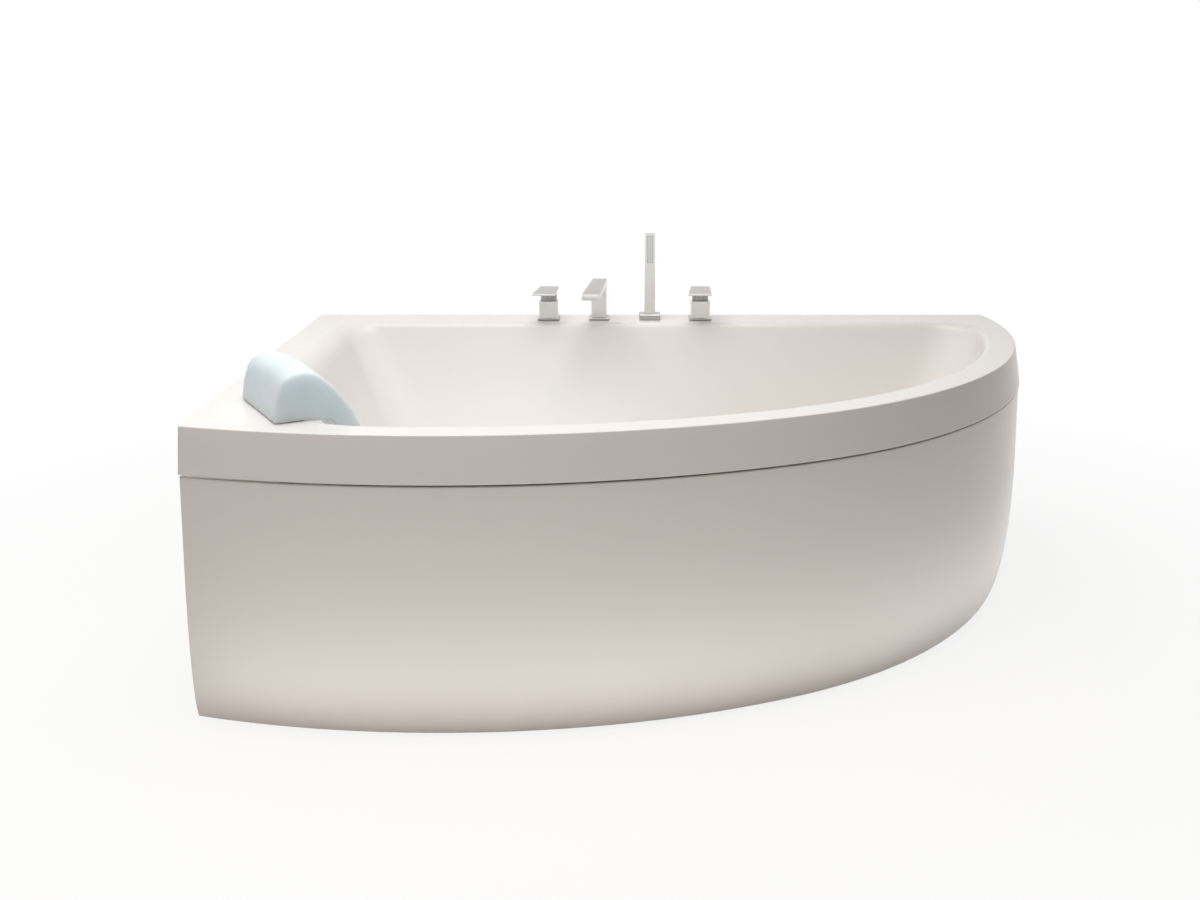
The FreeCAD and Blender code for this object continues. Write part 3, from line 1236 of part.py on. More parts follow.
def drain_body():
    """Cup under the drain with a square socket for the overflow pipe."""
    mouth = DRAIN_BODY_RADIUS + DRAIN_SOCKET_REACH
    outer = at_drain(rod(DRAIN_BODY_RADIUS, DRAIN_BODY_BOTTOM, DRAIN_BODY_TOP))
    half = OVERFLOW_PIPE_RADIUS + DRAIN_SOCKET_WALL
    socket = radial_box(DRAIN, WASTE_ANGLE, 0.0, mouth, half * 2.0, OVERFLOW_RUN_Z - half,
                        OVERFLOW_RUN_Z + half)
    throat = at_drain(rod(TAIL_RADIUS, FLANGE_TAIL_BOTTOM, DRAIN_BODY_TOP + OVERCUT))
    chamber = at_drain(rod(DRAIN_BODY_RADIUS - DRAIN_BODY_WALL,
                           DRAIN_BODY_BOTTOM + DRAIN_BODY_WALL, FLANGE_TAIL_BOTTOM))
    outlet = at_drain(rod(DIP_TUBE_RADIUS, DRAIN_BODY_BOTTOM - OVERCUT,
                          DRAIN_BODY_BOTTOM + DRAIN_BODY_WALL + OVERCUT))
    inward = waste_inward()
    pipe_seat = rod_along(OVERFLOW_PIPE_RADIUS, beside_drain(mouth + OVERCUT), inward,
                          DRAIN_PIPE_SEAT + OVERCUT)
    way_in = rod_along(OVERFLOW_PIPE_RADIUS - OVERFLOW_PIPE_WALL, beside_drain(mouth), inward,
                       DRAIN_BODY_RADIUS)
    cable_hole = rod_along(CABLE_RADIUS, beside_drain(mouth, CABLE_ASIDE), inward,
                           mouth - cable_end_reach())
    body = outer.fuse(socket)
    for hollow in (throat, chamber, outlet, pipe_seat, way_in, cable_hole):
        body = body.cut(hollow)
    return body


def drain_plug():
    """Pop-up plug: cap and guided stem."""
    cap = rod(PLUG_RADIUS, PLUG_BOTTOM, PLUG_BOTTOM + PLUG_THICKNESS)
    top_edge = [e for e in cap.Edges if e.BoundBox.ZMin > PLUG_BOTTOM + PLUG_THICKNESS - 0.01]
    cap = cap.makeFillet(PLUG_THICKNESS / 2.5, top_edge)
    boss = rod(SEAL_INNER_RADIUS, PLUG_BOTTOM - SEAL_THICKNESS - OVERCUT, PLUG_BOTTOM + OVERCUT)
    stem = rod(PLUG_STEM_RADIUS, PLUG_BOTTOM - PLUG_STEM_LENGTH, PLUG_BOTTOM + OVERCUT)
    return at_drain(fuse(cap, boss, stem))


def plug_seal():
    """Rubber ring under the cap that closes on the flange."""
    outer = TAIL_RADIUS - TAIL_WALL + SEAL_LAP
    return at_drain(tube(outer, SEAL_INNER_RADIUS, PLUG_BOTTOM - SEAL_THICKNESS, PLUG_BOTTOM))


def trap():
    """Shallow trap: a cup that the drain's dip tube reaches into, and its outlet."""
    top = DRAIN_BODY_BOTTOM
    cup = rod(TRAP_RADIUS, TRAP_FLOOR, top)
    hollow = rod(TRAP_RADIUS - TRAP_WALL, TRAP_FLOOR + TRAP_WALL, top - TRAP_WALL)
    dip = rod(DIP_TUBE_RADIUS, TRAP_FLOOR + TRAP_SEAL_GAP, top)
    dip_bore = rod(DIP_TUBE_RADIUS - DIP_TUBE_WALL, TRAP_FLOOR + TRAP_SEAL_GAP - OVERCUT, top + OVERCUT)
    outlet_z = top - TRAP_WALL - OUTLET_TOP_GAP - OUTLET_RADIUS
    backwards = Vector(0, 1, 0)
    root = Vector(0, TRAP_RADIUS / 2.0, outlet_z)
    collar = rod_along(OUTLET_COLLAR_RADIUS, root, backwards, trap_shoulder() - root.y)
    outlet = rod_along(OUTLET_RADIUS, root, backwards, trap_shoulder() - root.y + OUTLET_LENGTH)
    outlet_bore = rod_along(OUTLET_RADIUS - OUTLET_WALL, root, backwards,
                            TRAP_RADIUS + OUTLET_LENGTH)
    shell = cup.fuse(collar).fuse(outlet).cut(hollow).cut(outlet_bore)
    return at_drain(shell.fuse(dip).cut(dip_bore))


def trap_shoulder():
    """Distance of the outlet's shoulder from the trap's axis."""
    return TRAP_RADIUS + OUTLET_COLLAR_REACH


def overflow_knob():
    point, facing = overflow_frame()
    base = point + facing * KNOB_STANDOFF
    disc = rod_along(KNOB_RADIUS, base, facing, KNOB_THICKNESS)
    disc = disc.makeFillet(KNOB_THICKNESS / 5.0, [disc.Edges[0]])
    shaft = rod_along(KNOB_SHAFT_RADIUS, base - facing * KNOB_SHAFT_LENGTH, facing,
                      KNOB_SHAFT_LENGTH + OVERCUT)
    return fuse(disc, shaft)


def overflow_back_face():
    """Middle of the overflow cup's flange, behind the wall and its gasket."""
    point, facing = overflow_frame()
    slope = math.radians(FRONT_SLOPE)
    wall = SHELL * (math.cos(slope) + math.sin(slope))
    return point - facing * (wall + OVERFLOW_GASKET)


def overflow_body():
    """Cup behind the wall, its threaded neck through the wall and the knob's bearing."""
    point, facing = overflow_frame()
    back_face = overflow_back_face()
    cup = rod_along(OVERFLOW_CUP_RADIUS, back_face, -facing, OVERFLOW_CUP_DEPTH)
    hollow = rod_along(OVERFLOW_CUP_RADIUS - OVERFLOW_WALL, back_face - facing * OVERFLOW_WALL,
                       -facing, OVERFLOW_CUP_DEPTH - OVERFLOW_WALL * 2.0)
    neck_length = (point - back_face).Length
    neck = rod_along(OVERFLOW_NECK_RADIUS, point, -facing, neck_length + OVERCUT)
    neck_bore = rod_along(OVERFLOW_NECK_RADIUS - OVERFLOW_WALL, point + facing, -facing,
                          neck_length + OVERFLOW_WALL + 2.0)
    body = fuse(cup.cut(hollow), neck).cut(neck_bore)
    across = facing.cross(Vector(0, 0, 1)).normalize()
    half_spoke = OVERFLOW_NECK_RADIUS - OVERFLOW_WALL / 2.0
    start = point - facing * SPOKE_DEPTH - across * half_spoke
    spoke = rod_along(SPOKE_RADIUS, start, across, half_spoke * 2.0)
    hub = rod_along(KNOB_SHAFT_RADIUS + HUB_WALL, point - facing * HUB_DEPTH, -facing, HUB_LENGTH)
    bearing = rod_along(KNOB_SHAFT_RADIUS + RUNNING_FIT, point + facing, -facing,
                        HUB_LENGTH * 2.0)
    body = fuse(body, spoke, hub).cut(bearing)
    outlet = overflow_outlet_top()
    socket = rod(OVERFLOW_PIPE_RADIUS + OVERFLOW_SOCKET_WALL, outlet.z - OVERFLOW_SOCKET_DEPTH,
                 outlet.z + OVERFLOW_SOCKET_TOP, outlet.x, outlet.y)
    socket = socket.cut(rod_along(OVERFLOW_CUP_RADIUS, back_face, -facing, OVERFLOW_CUP_DEPTH))
    pipe_hole = rod(OVERFLOW_PIPE_RADIUS, outlet.z - OVERFLOW_SOCKET_DEPTH - OVERCUT, outlet.z,
                    outlet.x, outlet.y)
    way_out = rod(OVERFLOW_PIPE_RADIUS - OVERFLOW_PIPE_WALL - OVERCUT, outlet.z - OVERCUT,
                  outlet.z + OVERFLOW_SOCKET_TOP * 1.7, outlet.x, outlet.y)
    gasket_side = rod_along(OVERFLOW_CUP_RADIUS * 2.0, back_face, facing, OVERFLOW_GASKET)
    gasket_side = gasket_side.cut(rod_along(OVERFLOW_NECK_RADIUS, back_face - facing, facing,
                                            OVERFLOW_GASKET + 2.0))
    for hollow in (pipe_hole, way_out, gasket_side, pop_up_cable()):
        socket = socket.cut(hollow)
        body = body.cut(hollow)
    return fuse(body, socket)


def overflow_outlet_top():
    """Upper end of the overflow pipe."""
    point, _ = overflow_frame()
    return waste_point(OVERFLOW_PIPE_INSET, point.z - OVERFLOW_CUP_RADIUS - OVERFLOW_SOCKET_DROP)


def overflow_gasket():
    _, facing = overflow_frame()
    start = overflow_back_face()
    ring = rod_along(OVERFLOW_CUP_RADIUS, start, facing, OVERFLOW_GASKET)
    return ring.cut(rod_along(OVERFLOW_HOLE_RADIUS, start - facing, facing, OVERFLOW_GASKET + 2.0))


def overflow_pipe():
    top = overflow_outlet_top()
    seat = DRAIN_BODY_RADIUS + DRAIN_SOCKET_REACH - DRAIN_PIPE_SEAT
    points = [top, waste_point(OVERFLOW_PIPE_INSET, OVERFLOW_RUN_Z), beside_drain(seat)]
    return hollow_wire_tube(points, OVERFLOW_PIPE_RADIUS,
                            OVERFLOW_PIPE_RADIUS - OVERFLOW_PIPE_WALL, OVERFLOW_PIPE_BEND)


def pop_up_cable():
    """Bowden cable beside the overflow pipe, held by both bodies."""
    point, _ = overflow_frame()
    top = waste_point(CABLE_INSET, point.z - CABLE_TOP_DROP, CABLE_ASIDE)
    points = [top, waste_point(CABLE_INSET, OVERFLOW_RUN_Z, CABLE_ASIDE),
              beside_drain(cable_end_reach(), CABLE_ASIDE)]
    return hollow_wire_tube(points, CABLE_RADIUS, 0.0, OVERFLOW_PIPE_BEND)


# ---------------------------------------------------------------- headrest
REST_FAR = Vector(LEFT + REST_FAR_LEFT, BACK - RIM_WIDTH + REST_FAR_FRONT, 0)
REST_NEAR = Vector(LEFT + REST_NEAR_LEFT, BACK - RIM_WIDTH + REST_NEAR_FRONT, 0)
REST_AXIS = (REST_NEAR - REST_FAR).normalize()
REST_FACING = Vector(0, 0, 1).cross(REST_AXIS).normalize()
REST_LENGTH = (REST_NEAR - REST_FAR).Length
REST_SEAT = RIM_HEIGHT + SEAT_GAP


def rest_section(along):
    """Section of the cushion at this distance from its far end, as a closed outline.

    The crest swells and the back face draws in between the two ends.
    """
    swell = 1.0 - (2.0 * along / REST_LENGTH - 1.0) ** 2
    height = REST_HEIGHT + REST_CROWN * swell
    back = REST_WAIST * swell

    def at(depth, up):
        return REST_FAR + REST_AXIS * along + REST_FACING * depth + Vector(0, 0, REST_SEAT + up)

    def before(reach, up):
        return at(REST_CREST + reach, up)

    crest = at(REST_CREST, height)
    shoulder = at(back + REST_SHOULDER_REACH, height * 0.72)
    heel = at(0.0, 0.0)
    tip = at(REST_TIP_REACH, -REST_TIP_DROP)
    lobe = at(REST_TIP_REACH - REST_LOBE_THICKNESS, REST_TIP_SLANT - REST_TIP_DROP)
    toe = before(REST_TOE_REACH, -REST_TOE_DROP)
    middle_of_lobe = at(REST_TIP_REACH - REST_LOBE_THICKNESS / 2.0, -REST_TIP_DROP - REST_TIP_ROUND)
    back_face = Part.Arc(heel, at(back + REST_WAIST, height * 0.38), shoulder).toShape()
    dome = Part.BSplineCurve()
    dome.interpolate([shoulder, at(back + REST_NAPE_REACH, height * 0.93), crest,
                      before(REST_CHEST_REACH, height * 0.7),
                      before(REST_BELLY_REACH, height * 0.12), tip])
    nose = Part.Arc(tip, middle_of_lobe, lobe).toShape()
    under = Part.Arc(lobe, before(REST_ARCH_REACH, -REST_ARCH_DROP), toe).toShape()
    return Part.Wire([back_face, dome.toShape(), nose, under, line(toe, heel)])


def rest_clearance():
    """Space that the cushion must leave to the deck and the basin wall."""
    around = box(LEFT - OVERCUT, 0.0, -BACK - OVERCUT, 0.0, BASIN_FLOOR, RIM_HEIGHT + SEAT_GAP)
    drops = [d for d in basin_drops() if d < REST_TIP_DROP * 4.0]
    wires = [basin_section(0.0, -SEAT_GAP, RIM_HEIGHT + SEAT_GAP + OVERCUT)]
    wires += [basin_section(drop, -SEAT_GAP * 2.0, RIM_HEIGHT - drop + SEAT_GAP) for drop in drops]
    return around.cut(Part.makeLoft(wires, True, True))


def headrest_cushion():
    """Gel cushion: a crowned, drawn-in body on the deck with a lobe over the rim."""
    stations = [REST_LENGTH * k / (REST_STATIONS - 1.0) for k in range(REST_STATIONS)]
    body = Part.makeLoft([rest_section(s) for s in stations], True, False)
    body = body.cut(rest_clearance())
    body = max(body.Solids, key=lambda s: s.Volume)
    for x, y in sucker_places():
        body = body.cut(rod(SUCKER_RADIUS + SEAT_GAP, REST_SEAT - OVERCUT,
                            RIM_HEIGHT + SUCKER_HEIGHT + SEAT_GAP, x, y))
    return body


def sucker_places():
    """Two suction cups under the back half of the cushion."""
    places = []
    for share in (0.25, 0.75):
        point = REST_FAR + REST_AXIS * REST_LENGTH * share + REST_FACING * SUCKER_INSET
        places.append((point.x, point.y))
    return places


def headrest_suckers():
    cups = []
    for x, y in sucker_places():
        cup = Part.makeCone(SUCKER_RADIUS, SUCKER_RADIUS * 0.6, SUCKER_HEIGHT,
                            Vector(x, y, RIM_HEIGHT))
        cups.append(cup)
    return group(cups)


# ---------------------------------------------------------------- all the pieces
def build():
    feet = foot_places()
    pieces = {
        "tub_shell": tub_shell(),
        "front_panel": front_panel(),
        "base_board": screw_pilots(base_board()),
        "rim_batten": rim_batten(),
        "tap_ledge_board": tap_ledge_board(),
        "frame_rail_back": frame_rail(BACK_RAIL_RIGHT, BACK_RAIL_Y),
        "frame_rail_front": frame_rail(FRONT_RAIL_RIGHT, FRONT_RAIL_Y),
        "frame_cross_rails": frame_cross_rails(),
        "frame_screws": frame_screws(),
        "foot_nuts": foot_nuts(),
        "panel_clips": panel_clips(),
        "panel_arms": panel_arms(),
        "panel_catches": panel_catches(),
        "wall_brackets": wall_brackets(),
        "deck_gaskets": deck_gaskets(),
        "deck_nuts": deck_nuts(),
        "mixer_escutcheon": square_escutcheon(MIXER_X, HANDLE_ESCUTCHEON, SHANK_RADIUS),
        "mixer_body": handle_cube(MIXER_X),
        "mixer_cartridge": cartridge(MIXER_X),
        "mixer_collar": mixer_collar(),
        "mixer_lever": mixer_lever(),
        "mixer_lever_pin": mixer_lever_pin(),
        "mixer_valve": valve_block(MIXER_X, (-INLET_SPACING / 2.0, INLET_SPACING / 2.0)),
        "diverter_escutcheon": square_escutcheon(DIVERTER_X, HANDLE_ESCUTCHEON, SHANK_RADIUS),
        "diverter_body": handle_cube(DIVERTER_X),
        "diverter_cartridge": cartridge(DIVERTER_X),
        "diverter_handle": diverter_handle(),
        "diverter_valve": valve_block(DIVERTER_X, (0.0,)),
        "spout_escutcheon": square_escutcheon(SPOUT_X, SPOUT_ESCUTCHEON, SHANK_RADIUS),
        "spout_body": spout_body(),
        "spout_aerator": spout_aerator(),
        "spout_shank": spout_shank(),
        "link_pipe": link_pipe(),
        "spout_pipe": spout_pipe(),
        "shower_escutcheon": shower_escutcheon(),
        "shower_guide": shower_guide(),
        "hand_shower_body": hand_shower_body(),
        "hand_shower_face": hand_shower_face(),
        "hand_shower_connector": hand_shower_connector(),
        "drain_flange": drain_flange(),
        "drain_gasket": drain_gasket(),
        "drain_body": drain_body(),
        "drain_plug": drain_plug(),
        "plug_seal": plug_seal(),
        "trap": trap(),
        "overflow_knob": overflow_knob(),
        "overflow_body": overflow_body(),
        "overflow_gasket": overflow_gasket(),
        "overflow_pipe": overflow_pipe(),
        "pop_up_cable": pop_up_cable(),
        "headrest_cushion": headrest_cushion(),
        "headrest_suckers": headrest_suckers(),
    }
    for number, (x, y) in enumerate(feet, start=1):
        pieces["levelling_stud_%d" % number] = levelling_stud(x, y)
        pieces["foot_pad_%d" % number] = foot_pad(x, y)
    return pieces


os.makedirs("parts", exist_ok=True)
for name, shape in build().items():
    shape.exportStep("parts/%s.step" % name)
    print(name, len(shape.Solids), round(shape.Volume), shape.isValid())
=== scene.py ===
"""Corner bathtub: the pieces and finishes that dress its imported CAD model.

Metres, +Z up, the origin on the floor at the middle of the overall box. The tub's left
end is against the plane x = LEFT and its back against the plane y = BACK.
"""
import math

import bmesh
import bpy
from mathutils import Matrix, Vector


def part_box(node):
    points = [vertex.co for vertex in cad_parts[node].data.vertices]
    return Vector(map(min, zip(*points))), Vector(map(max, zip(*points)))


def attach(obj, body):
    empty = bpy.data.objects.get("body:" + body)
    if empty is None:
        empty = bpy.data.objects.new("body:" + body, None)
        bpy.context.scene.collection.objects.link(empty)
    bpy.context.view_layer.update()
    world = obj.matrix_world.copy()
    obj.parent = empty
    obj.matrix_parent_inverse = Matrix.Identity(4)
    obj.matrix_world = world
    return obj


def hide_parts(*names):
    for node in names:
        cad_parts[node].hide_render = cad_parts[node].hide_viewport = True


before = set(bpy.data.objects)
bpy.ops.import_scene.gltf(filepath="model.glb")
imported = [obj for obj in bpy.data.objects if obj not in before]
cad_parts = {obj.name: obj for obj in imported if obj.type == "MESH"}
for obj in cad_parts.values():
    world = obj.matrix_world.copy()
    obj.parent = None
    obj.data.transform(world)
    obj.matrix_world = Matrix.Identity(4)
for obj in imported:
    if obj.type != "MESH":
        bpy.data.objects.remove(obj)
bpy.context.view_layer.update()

bl_info = {
    "name": "Corner Bathtub",
    "version": (1, 0, 0),
    "blender": (4, 5, 0),
    "location": "3D View > Sidebar > Bathtub",
    "description": "Makes the shell, panel, headrest and taps of a corner bathtub",
    "category": "Object",
}

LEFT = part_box("tub_shell")[0].x
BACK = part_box("tub_shell")[1].y
RIM_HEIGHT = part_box("tub_shell")[1].z

# Strips of narrow faces beside edges and holes, so that the large faces there shade flat
END_STRIP = 0.002
DECK_STRIP = 0.003
FLOOR_STRIP = 0.006
HOLE_STRIP_GROWTH = 1.3  # outer over inner radius of the strip round a tap hole

TAP_HOLE_RADIUS = 0.014
DRAIN_HOLE_RADIUS = 0.026
SAME_POINT = 0.00002  # nearer points of the shell become one
ON_WALL = 0.00001  # edges of the shell nearer to a wall lie on it

# Edges of each arc or run of an outline
END_STEPS = 40
FRONT_STEPS = 28
BASIN_STEPS = 24  # back, front and the wide corner at the left
BASIN_LEFT_STEPS = 10
CORNER_STEPS = 14
UPPER_RINGS = 16
LOWER_RINGS = 12
FASCIA_ROUND_STEPS = 5
PANEL_ROUND_STEPS = 4
CURL_STEPS = 24
TAP_HOLE_STEPS = 32
ROUND_STEPS = 48  # drain hole and round bars
NOZZLE_STEPS = 12
SOFT_STEPS = 3  # softened metal edge
BAR_SOFT_STEPS = 2

# What joins the lever plates to their taps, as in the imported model
TONGUE_DROP = 0.003  # below the pin
TONGUE_HALF_WIDTH = 0.005
TONGUE_FRONT, TONGUE_BACK = 0.0045, 0.0155  # both behind the tap's middle
TONGUE_ROUND = 0.0025
COLLAR_HEIGHT = 0.025
COLLAR_RADIUS = 0.02
NECK_RADIUS = 0.01
STEM_RADIUS = 0.006
UNDER_PLATE = 0.0001  # the neck starts this far below a lever plate

NOZZLE_COLUMNS = (-1, 0, 1)
NOZZLE_TAPER = 0.7
NOZZLE_DEPTH = 0.0016
GEL_VOXEL = 0.0035
GEL_SMOOTHINGS = 6
GEL_SAME_POINT = 0.00005

SHELL_CREASE = 40.0  # degrees; a sharper edge isn't shaded smooth
METAL_CREASE = 35.0
FACING = 0.9  # least share of a normal along the axis that its face looks along
FLAT = 0.7  # the same for the upright axis and a flat top

# Camera fitted to the photograph's view
CAMERA_PLACE = (-0.1079, -2.7116, 1.1122)
CAMERA_TILT = 81.0
LENS_LENGTH = 39.55
LENS_SHIFT = (-0.01075, -0.1265)
CLIP_END = 60.0

# Stage
FLOOR_SIZE = 20.0
FLOOR_DROP = 0.0005
FADE_FROM, FADE_TO = 0.9, 2.2  # distances over which the floor pales to white
FADE_LOW = 0.86  # share of white near the tub
ROOM_COLOUR = (1.0, 0.93, 0.88, 1.0)
ROOM_STRENGTH = 0.13
SOFTBOX_PLACE = (-0.65, -0.55, 2.8)
SOFTBOX_SIZE = (2.6, 2.6)
SOFTBOX_WATTS = 73.0
FRONT_REFLECTORS = (-99, -85, -72)  # degrees round the front arc
END_REFLECTORS = (-54, -34, -13)  # degrees round the end arc
REFLECTOR_GAP = 0.18  # outside the rim
REFLECTOR_HEIGHT = 0.01
REFLECTOR_SIZE = (0.24, 0.42)
REFLECTOR_WATTS = 0.34
BASIN_LAMP_PLACE = (-0.3, 0.06, 0.16)
BASIN_LAMP_SIZE = (0.6, 0.4)
BASIN_LAMP_WATTS = 1.1
BASIN_LAMP_COLOUR = (0.8, 0.95, 1.0)


# ---- sizes and colours
def length(name, default, description):
    return bpy.props.FloatProperty(name=name, default=default, description=description,
                                   unit="LENGTH", subtype="DISTANCE", precision=4)


def slope(name, degrees, description):
    return bpy.props.FloatProperty(name=name, default=math.radians(degrees),
                                   description=description, unit="ROTATION", subtype="ANGLE")


def colour(name, default, description):
    return bpy.props.FloatVectorProperty(name=name, default=default, description=description,
                                         subtype="COLOR", size=3, min=0.0, max=1.0)


class TubSizes(bpy.types.PropertyGroup):
    tub_length: length("Length", 1.7, "Overall length along the back wall")
    tub_width: length("Width", 1.2, "Overall width from the back wall to the fascia")
    end_reach: length("End Reach", 0.115, "The end arc is widest this far from the back wall")
    front_crest: length("Front Crest", 0.44, "The front is deepest this far from the left wall")
    front_bulge: length("Front Bulge", 0.048, "Crest of the front outside the end arc's circle")
    shell: length("Shell", 0.006, "Thickness of the acrylic shell")
    fascia_height: length("Fascia Height", 0.082, "Height of the down-turned front edge")
    fascia_flare: length("Fascia Flare", 0.012, "How far the fascia leans out")
    fascia_round: length("Fascia Round", 0.0025, "Rounding of the fascia's top edge")
    lip_depth: length("Lip Depth", 0.03, "Down-turned edge along the walls")
    back_rim: length("Back Rim", 0.113, "Width of the deck along the back wall")
    left_rim: length("Left Rim", 0.07, "Width of the deck along the left wall")
    front_rim: length("Front Rim", 0.056, "Width of the deck along the front")
    back_left_corner: length("Back Left Corner", 0.07, "Radius of that corner of the basin")
    back_right_corner: length("Back Right Corner", 0.095, "Radius of that corner")
    front_left_corner: length("Front Left Corner", 0.28, "Radius of that corner")
    floor_corner: length("Floor Corner", 0.15, "Radius of all corners at the floor")
    basin_floor: length("Basin Floor", 0.14, "Height of the basin's floor")
    rim_roll: length("Rim Roll", 0.016, "Radius between deck and basin wall")
    left_roll: length("Left Roll", 0.06, "The same radius at the left end")
    floor_radius: length("Floor Radius", 0.09, "Radius between basin wall and floor")
    left_floor_radius: length("Left Floor Radius", 0.12, "The same radius at the left end")
    back_slope: slope("Back Slope", 14.0, "Lean of the back wall of the basin")
    left_slope: slope("Left Slope", 26.0, "Lean of the backrest")
    front_slope: slope("Front Slope", 12.0, "Lean of the front wall of the basin")
    roll_start: slope("Roll Start", 12.0, "Fall of the wall where it leaves the deck")


class PanelSizes(bpy.types.PropertyGroup):
    thickness: length("Thickness", 0.005, "Thickness of the panel")
    gap: length("Shadow Gap", 0.004, "Gap under the fascia")
    setback: length("Setback", 0.002, "Face of the panel inside the fascia's lower edge")
    floor_gap: length("Floor Gap", 0.005, "Gap to the floor")
    curl: length("Curl", 0.044, "How far the foot of the panel draws in")
    curl_height: length("Curl Height", 0.3, "Where the panel starts to draw in")
    wall_gap: length("Wall Gap", 0.002, "Gap to the two walls")
    flange: length("Flange", 0.03, "Width of the flange along the top")
    edge_round: length("Edge Round", 0.002, "Rounding of the top edge")


class TapSizes(bpy.types.PropertyGroup):
    tap_turn: slope("Tap Turn", -4.0, "How far spout and handles stand turned")
    edge: length("Edge Round", 0.0008, "Rounding of the metal edges")
    lever_thickness: length("Lever Thickness", 0.005, "Thickness of the lever plates")
    lever_back: length("Lever Back", 0.023, "Reach of a lever behind its collar's centre")
    lever_front: length("Lever Front", 0.104, "Reach of a lever in front of it")
    lever_back_width: length("Lever Back Width", 0.047, "Width of a lever at its back")
    lever_front_width: length("Lever Front Width", 0.056, "Width of a lever at its front")
    spout_column: length("Spout Column", 0.039, "Depth of the spout's column")
    spout_arm: length("Spout Arm", 0.014, "Thickness of the spout's arm")
    spout_reach: length("Spout Reach", 0.245, "Reach of the spout from its column's centre")
    spout_back_width: length("Spout Back Width", 0.036, "Width of the spout at its column")
    spout_front_width: length("Spout Front Width", 0.042, "Width of the spout at its tip")
    nozzle_pitch: length("Nozzle Pitch", 0.0058, "From one spray nozzle to the next")
    nozzle_radius: length("Nozzle Radius", 0.0018, "Radius of a spray nozzle at its foot")


class BathColours(bpy.types.PropertyGroup):
    acrylic: colour("Acrylic", (0.86, 0.825, 0.79), "Gloss acrylic of shell and panel")
    # The nickel is one metal in two shades: lighter on upright faces and darker on flat tops, as
    # painted light and painted shade
    nickel: colour("Nickel", (0.80, 0.80, 0.785), "Nickel of upright faces")
    top_nickel_painted_shade: colour("Flat Nickel", (0.48, 0.46, 0.44), "Nickel of flat tops")
    gel: colour("Gel", (0.75, 0.85, 0.95), "Translucent gel of the headrest")
    backdrop: colour("Backdrop", (0.93, 0.88, 0.83), "Floor that the tub stands on")


# ---- outlines
def vert_at(bm, x, y, z):
    return bmesh.ops.create_vert(bm, co=(x, y, z))["vert"][0]


def run(bm, vert, x, y, pieces):
    """Edges from the vertex straight to x, y."""
    step = (Vector((x, y, vert.co.z)) - vert.co) / pieces
    for _ in range(pieces):
        new = bmesh.ops.extrude_vert_indiv(bm, verts=[vert])["verts"]
        bmesh.ops.translate(bm, verts=new, vec=step)
        vert = new[0]
    return vert


def turn(bm, vert, centre, angle, steps):
    """Edges round the centre, by an angle in radians that is positive to the left."""
    spun = bmesh.ops.spin(bm, geom=[vert], cent=(centre.x, centre.y, vert.co.z), axis=(0, 0, 1),
                          angle=angle, steps=steps, use_merge=False, use_duplicate=False)
    return next(item for item in spun["geom_last"] if isinstance(item, bmesh.types.BMVert))


def heading(vector):
    return math.atan2(vector.y, vector.x)


def edges_since(bm, before):
    return [edge for edge in bm.edges if edge not in before]


class Plan:
    """The two tangent arcs of the tub's curved side, in plan."""

    def __init__(self, sizes):
        self.rim_length = sizes.tub_length - sizes.fascia_flare
        self.rim_width = sizes.tub_width - sizes.fascia_flare
        self.end_radius = self.rim_width - sizes.end_reach - sizes.front_bulge
        self.end_centre = Vector((LEFT + self.rim_length - self.end_radius,
                                  BACK - sizes.end_reach))
        across = self.end_centre.x - (LEFT + sizes.front_crest)
        deep = self.end_radius + sizes.front_bulge
        self.front_radius = ((across ** 2 + deep ** 2 - self.end_radius ** 2)
                             / (2.0 * (deep - self.end_radius)))
        self.front_centre = Vector((LEFT + sizes.front_crest,
                                    BACK - self.rim_width + self.front_radius))
        self.join = heading(self.end_centre - self.front_centre)

    def start_angle(self, offset, gap):
        reach = BACK - self.end_centre.y - gap
        return math.asin(reach / (self.end_radius + offset))

    def finish_angle(self, offset, gap):
        reach = LEFT + gap - self.front_centre.x
        return -math.acos(reach / (self.front_radius + offset))

    def curved_side(self, bm, offset, z, gap=0.0):
        """Open chain from the back wall round to the left wall. Gives its edges and two ends."""
        before = set(bm.edges)
        start = self.start_angle(offset, gap)
        radius = self.end_radius + offset
        first = vert_at(bm, self.end_centre.x + radius * math.cos(start),
                        self.end_centre.y + radius * math.sin(start), z)
        strip = END_STRIP / radius
        vert = turn(bm, first, self.end_centre, -strip, 1)
        vert = turn(bm, vert, self.end_centre, self.join - start + strip, END_STEPS)
        strip = END_STRIP / (self.front_radius + offset)
        sweep = self.finish_angle(offset, gap) - self.join
        vert = turn(bm, vert, self.front_centre, sweep + strip, FRONT_STEPS)
        last = turn(bm, vert, self.front_centre, -strip, 1)
        return edges_since(bm, before), first, last

    def skin(self, bm, levels, gap=0.0, previous=None):
        """Faces between curved sides at these offsets and heights. Gives the ends of each."""
        ends = []
        for offset, z in levels:
            chain, first, last = self.curved_side(bm, offset, z, gap)
            if previous:
                bmesh.ops.bridge_loops(bm, edges=previous + chain)
            previous = chain
            ends.append((first, last))
        return ends


def corner_centre(flat, upright, centre, reach, corner):
    """Centre of a corner arc that lies inside a big arc and touches a straight wall."""
    if upright:
        x = flat + corner
        return Vector((x, centre.y - math.sqrt(reach ** 2 - (x - centre.x) ** 2)))
    y = flat - corner
    return Vector((centre.x + math.sqrt(reach ** 2 - (y - centre.y) ** 2), y))


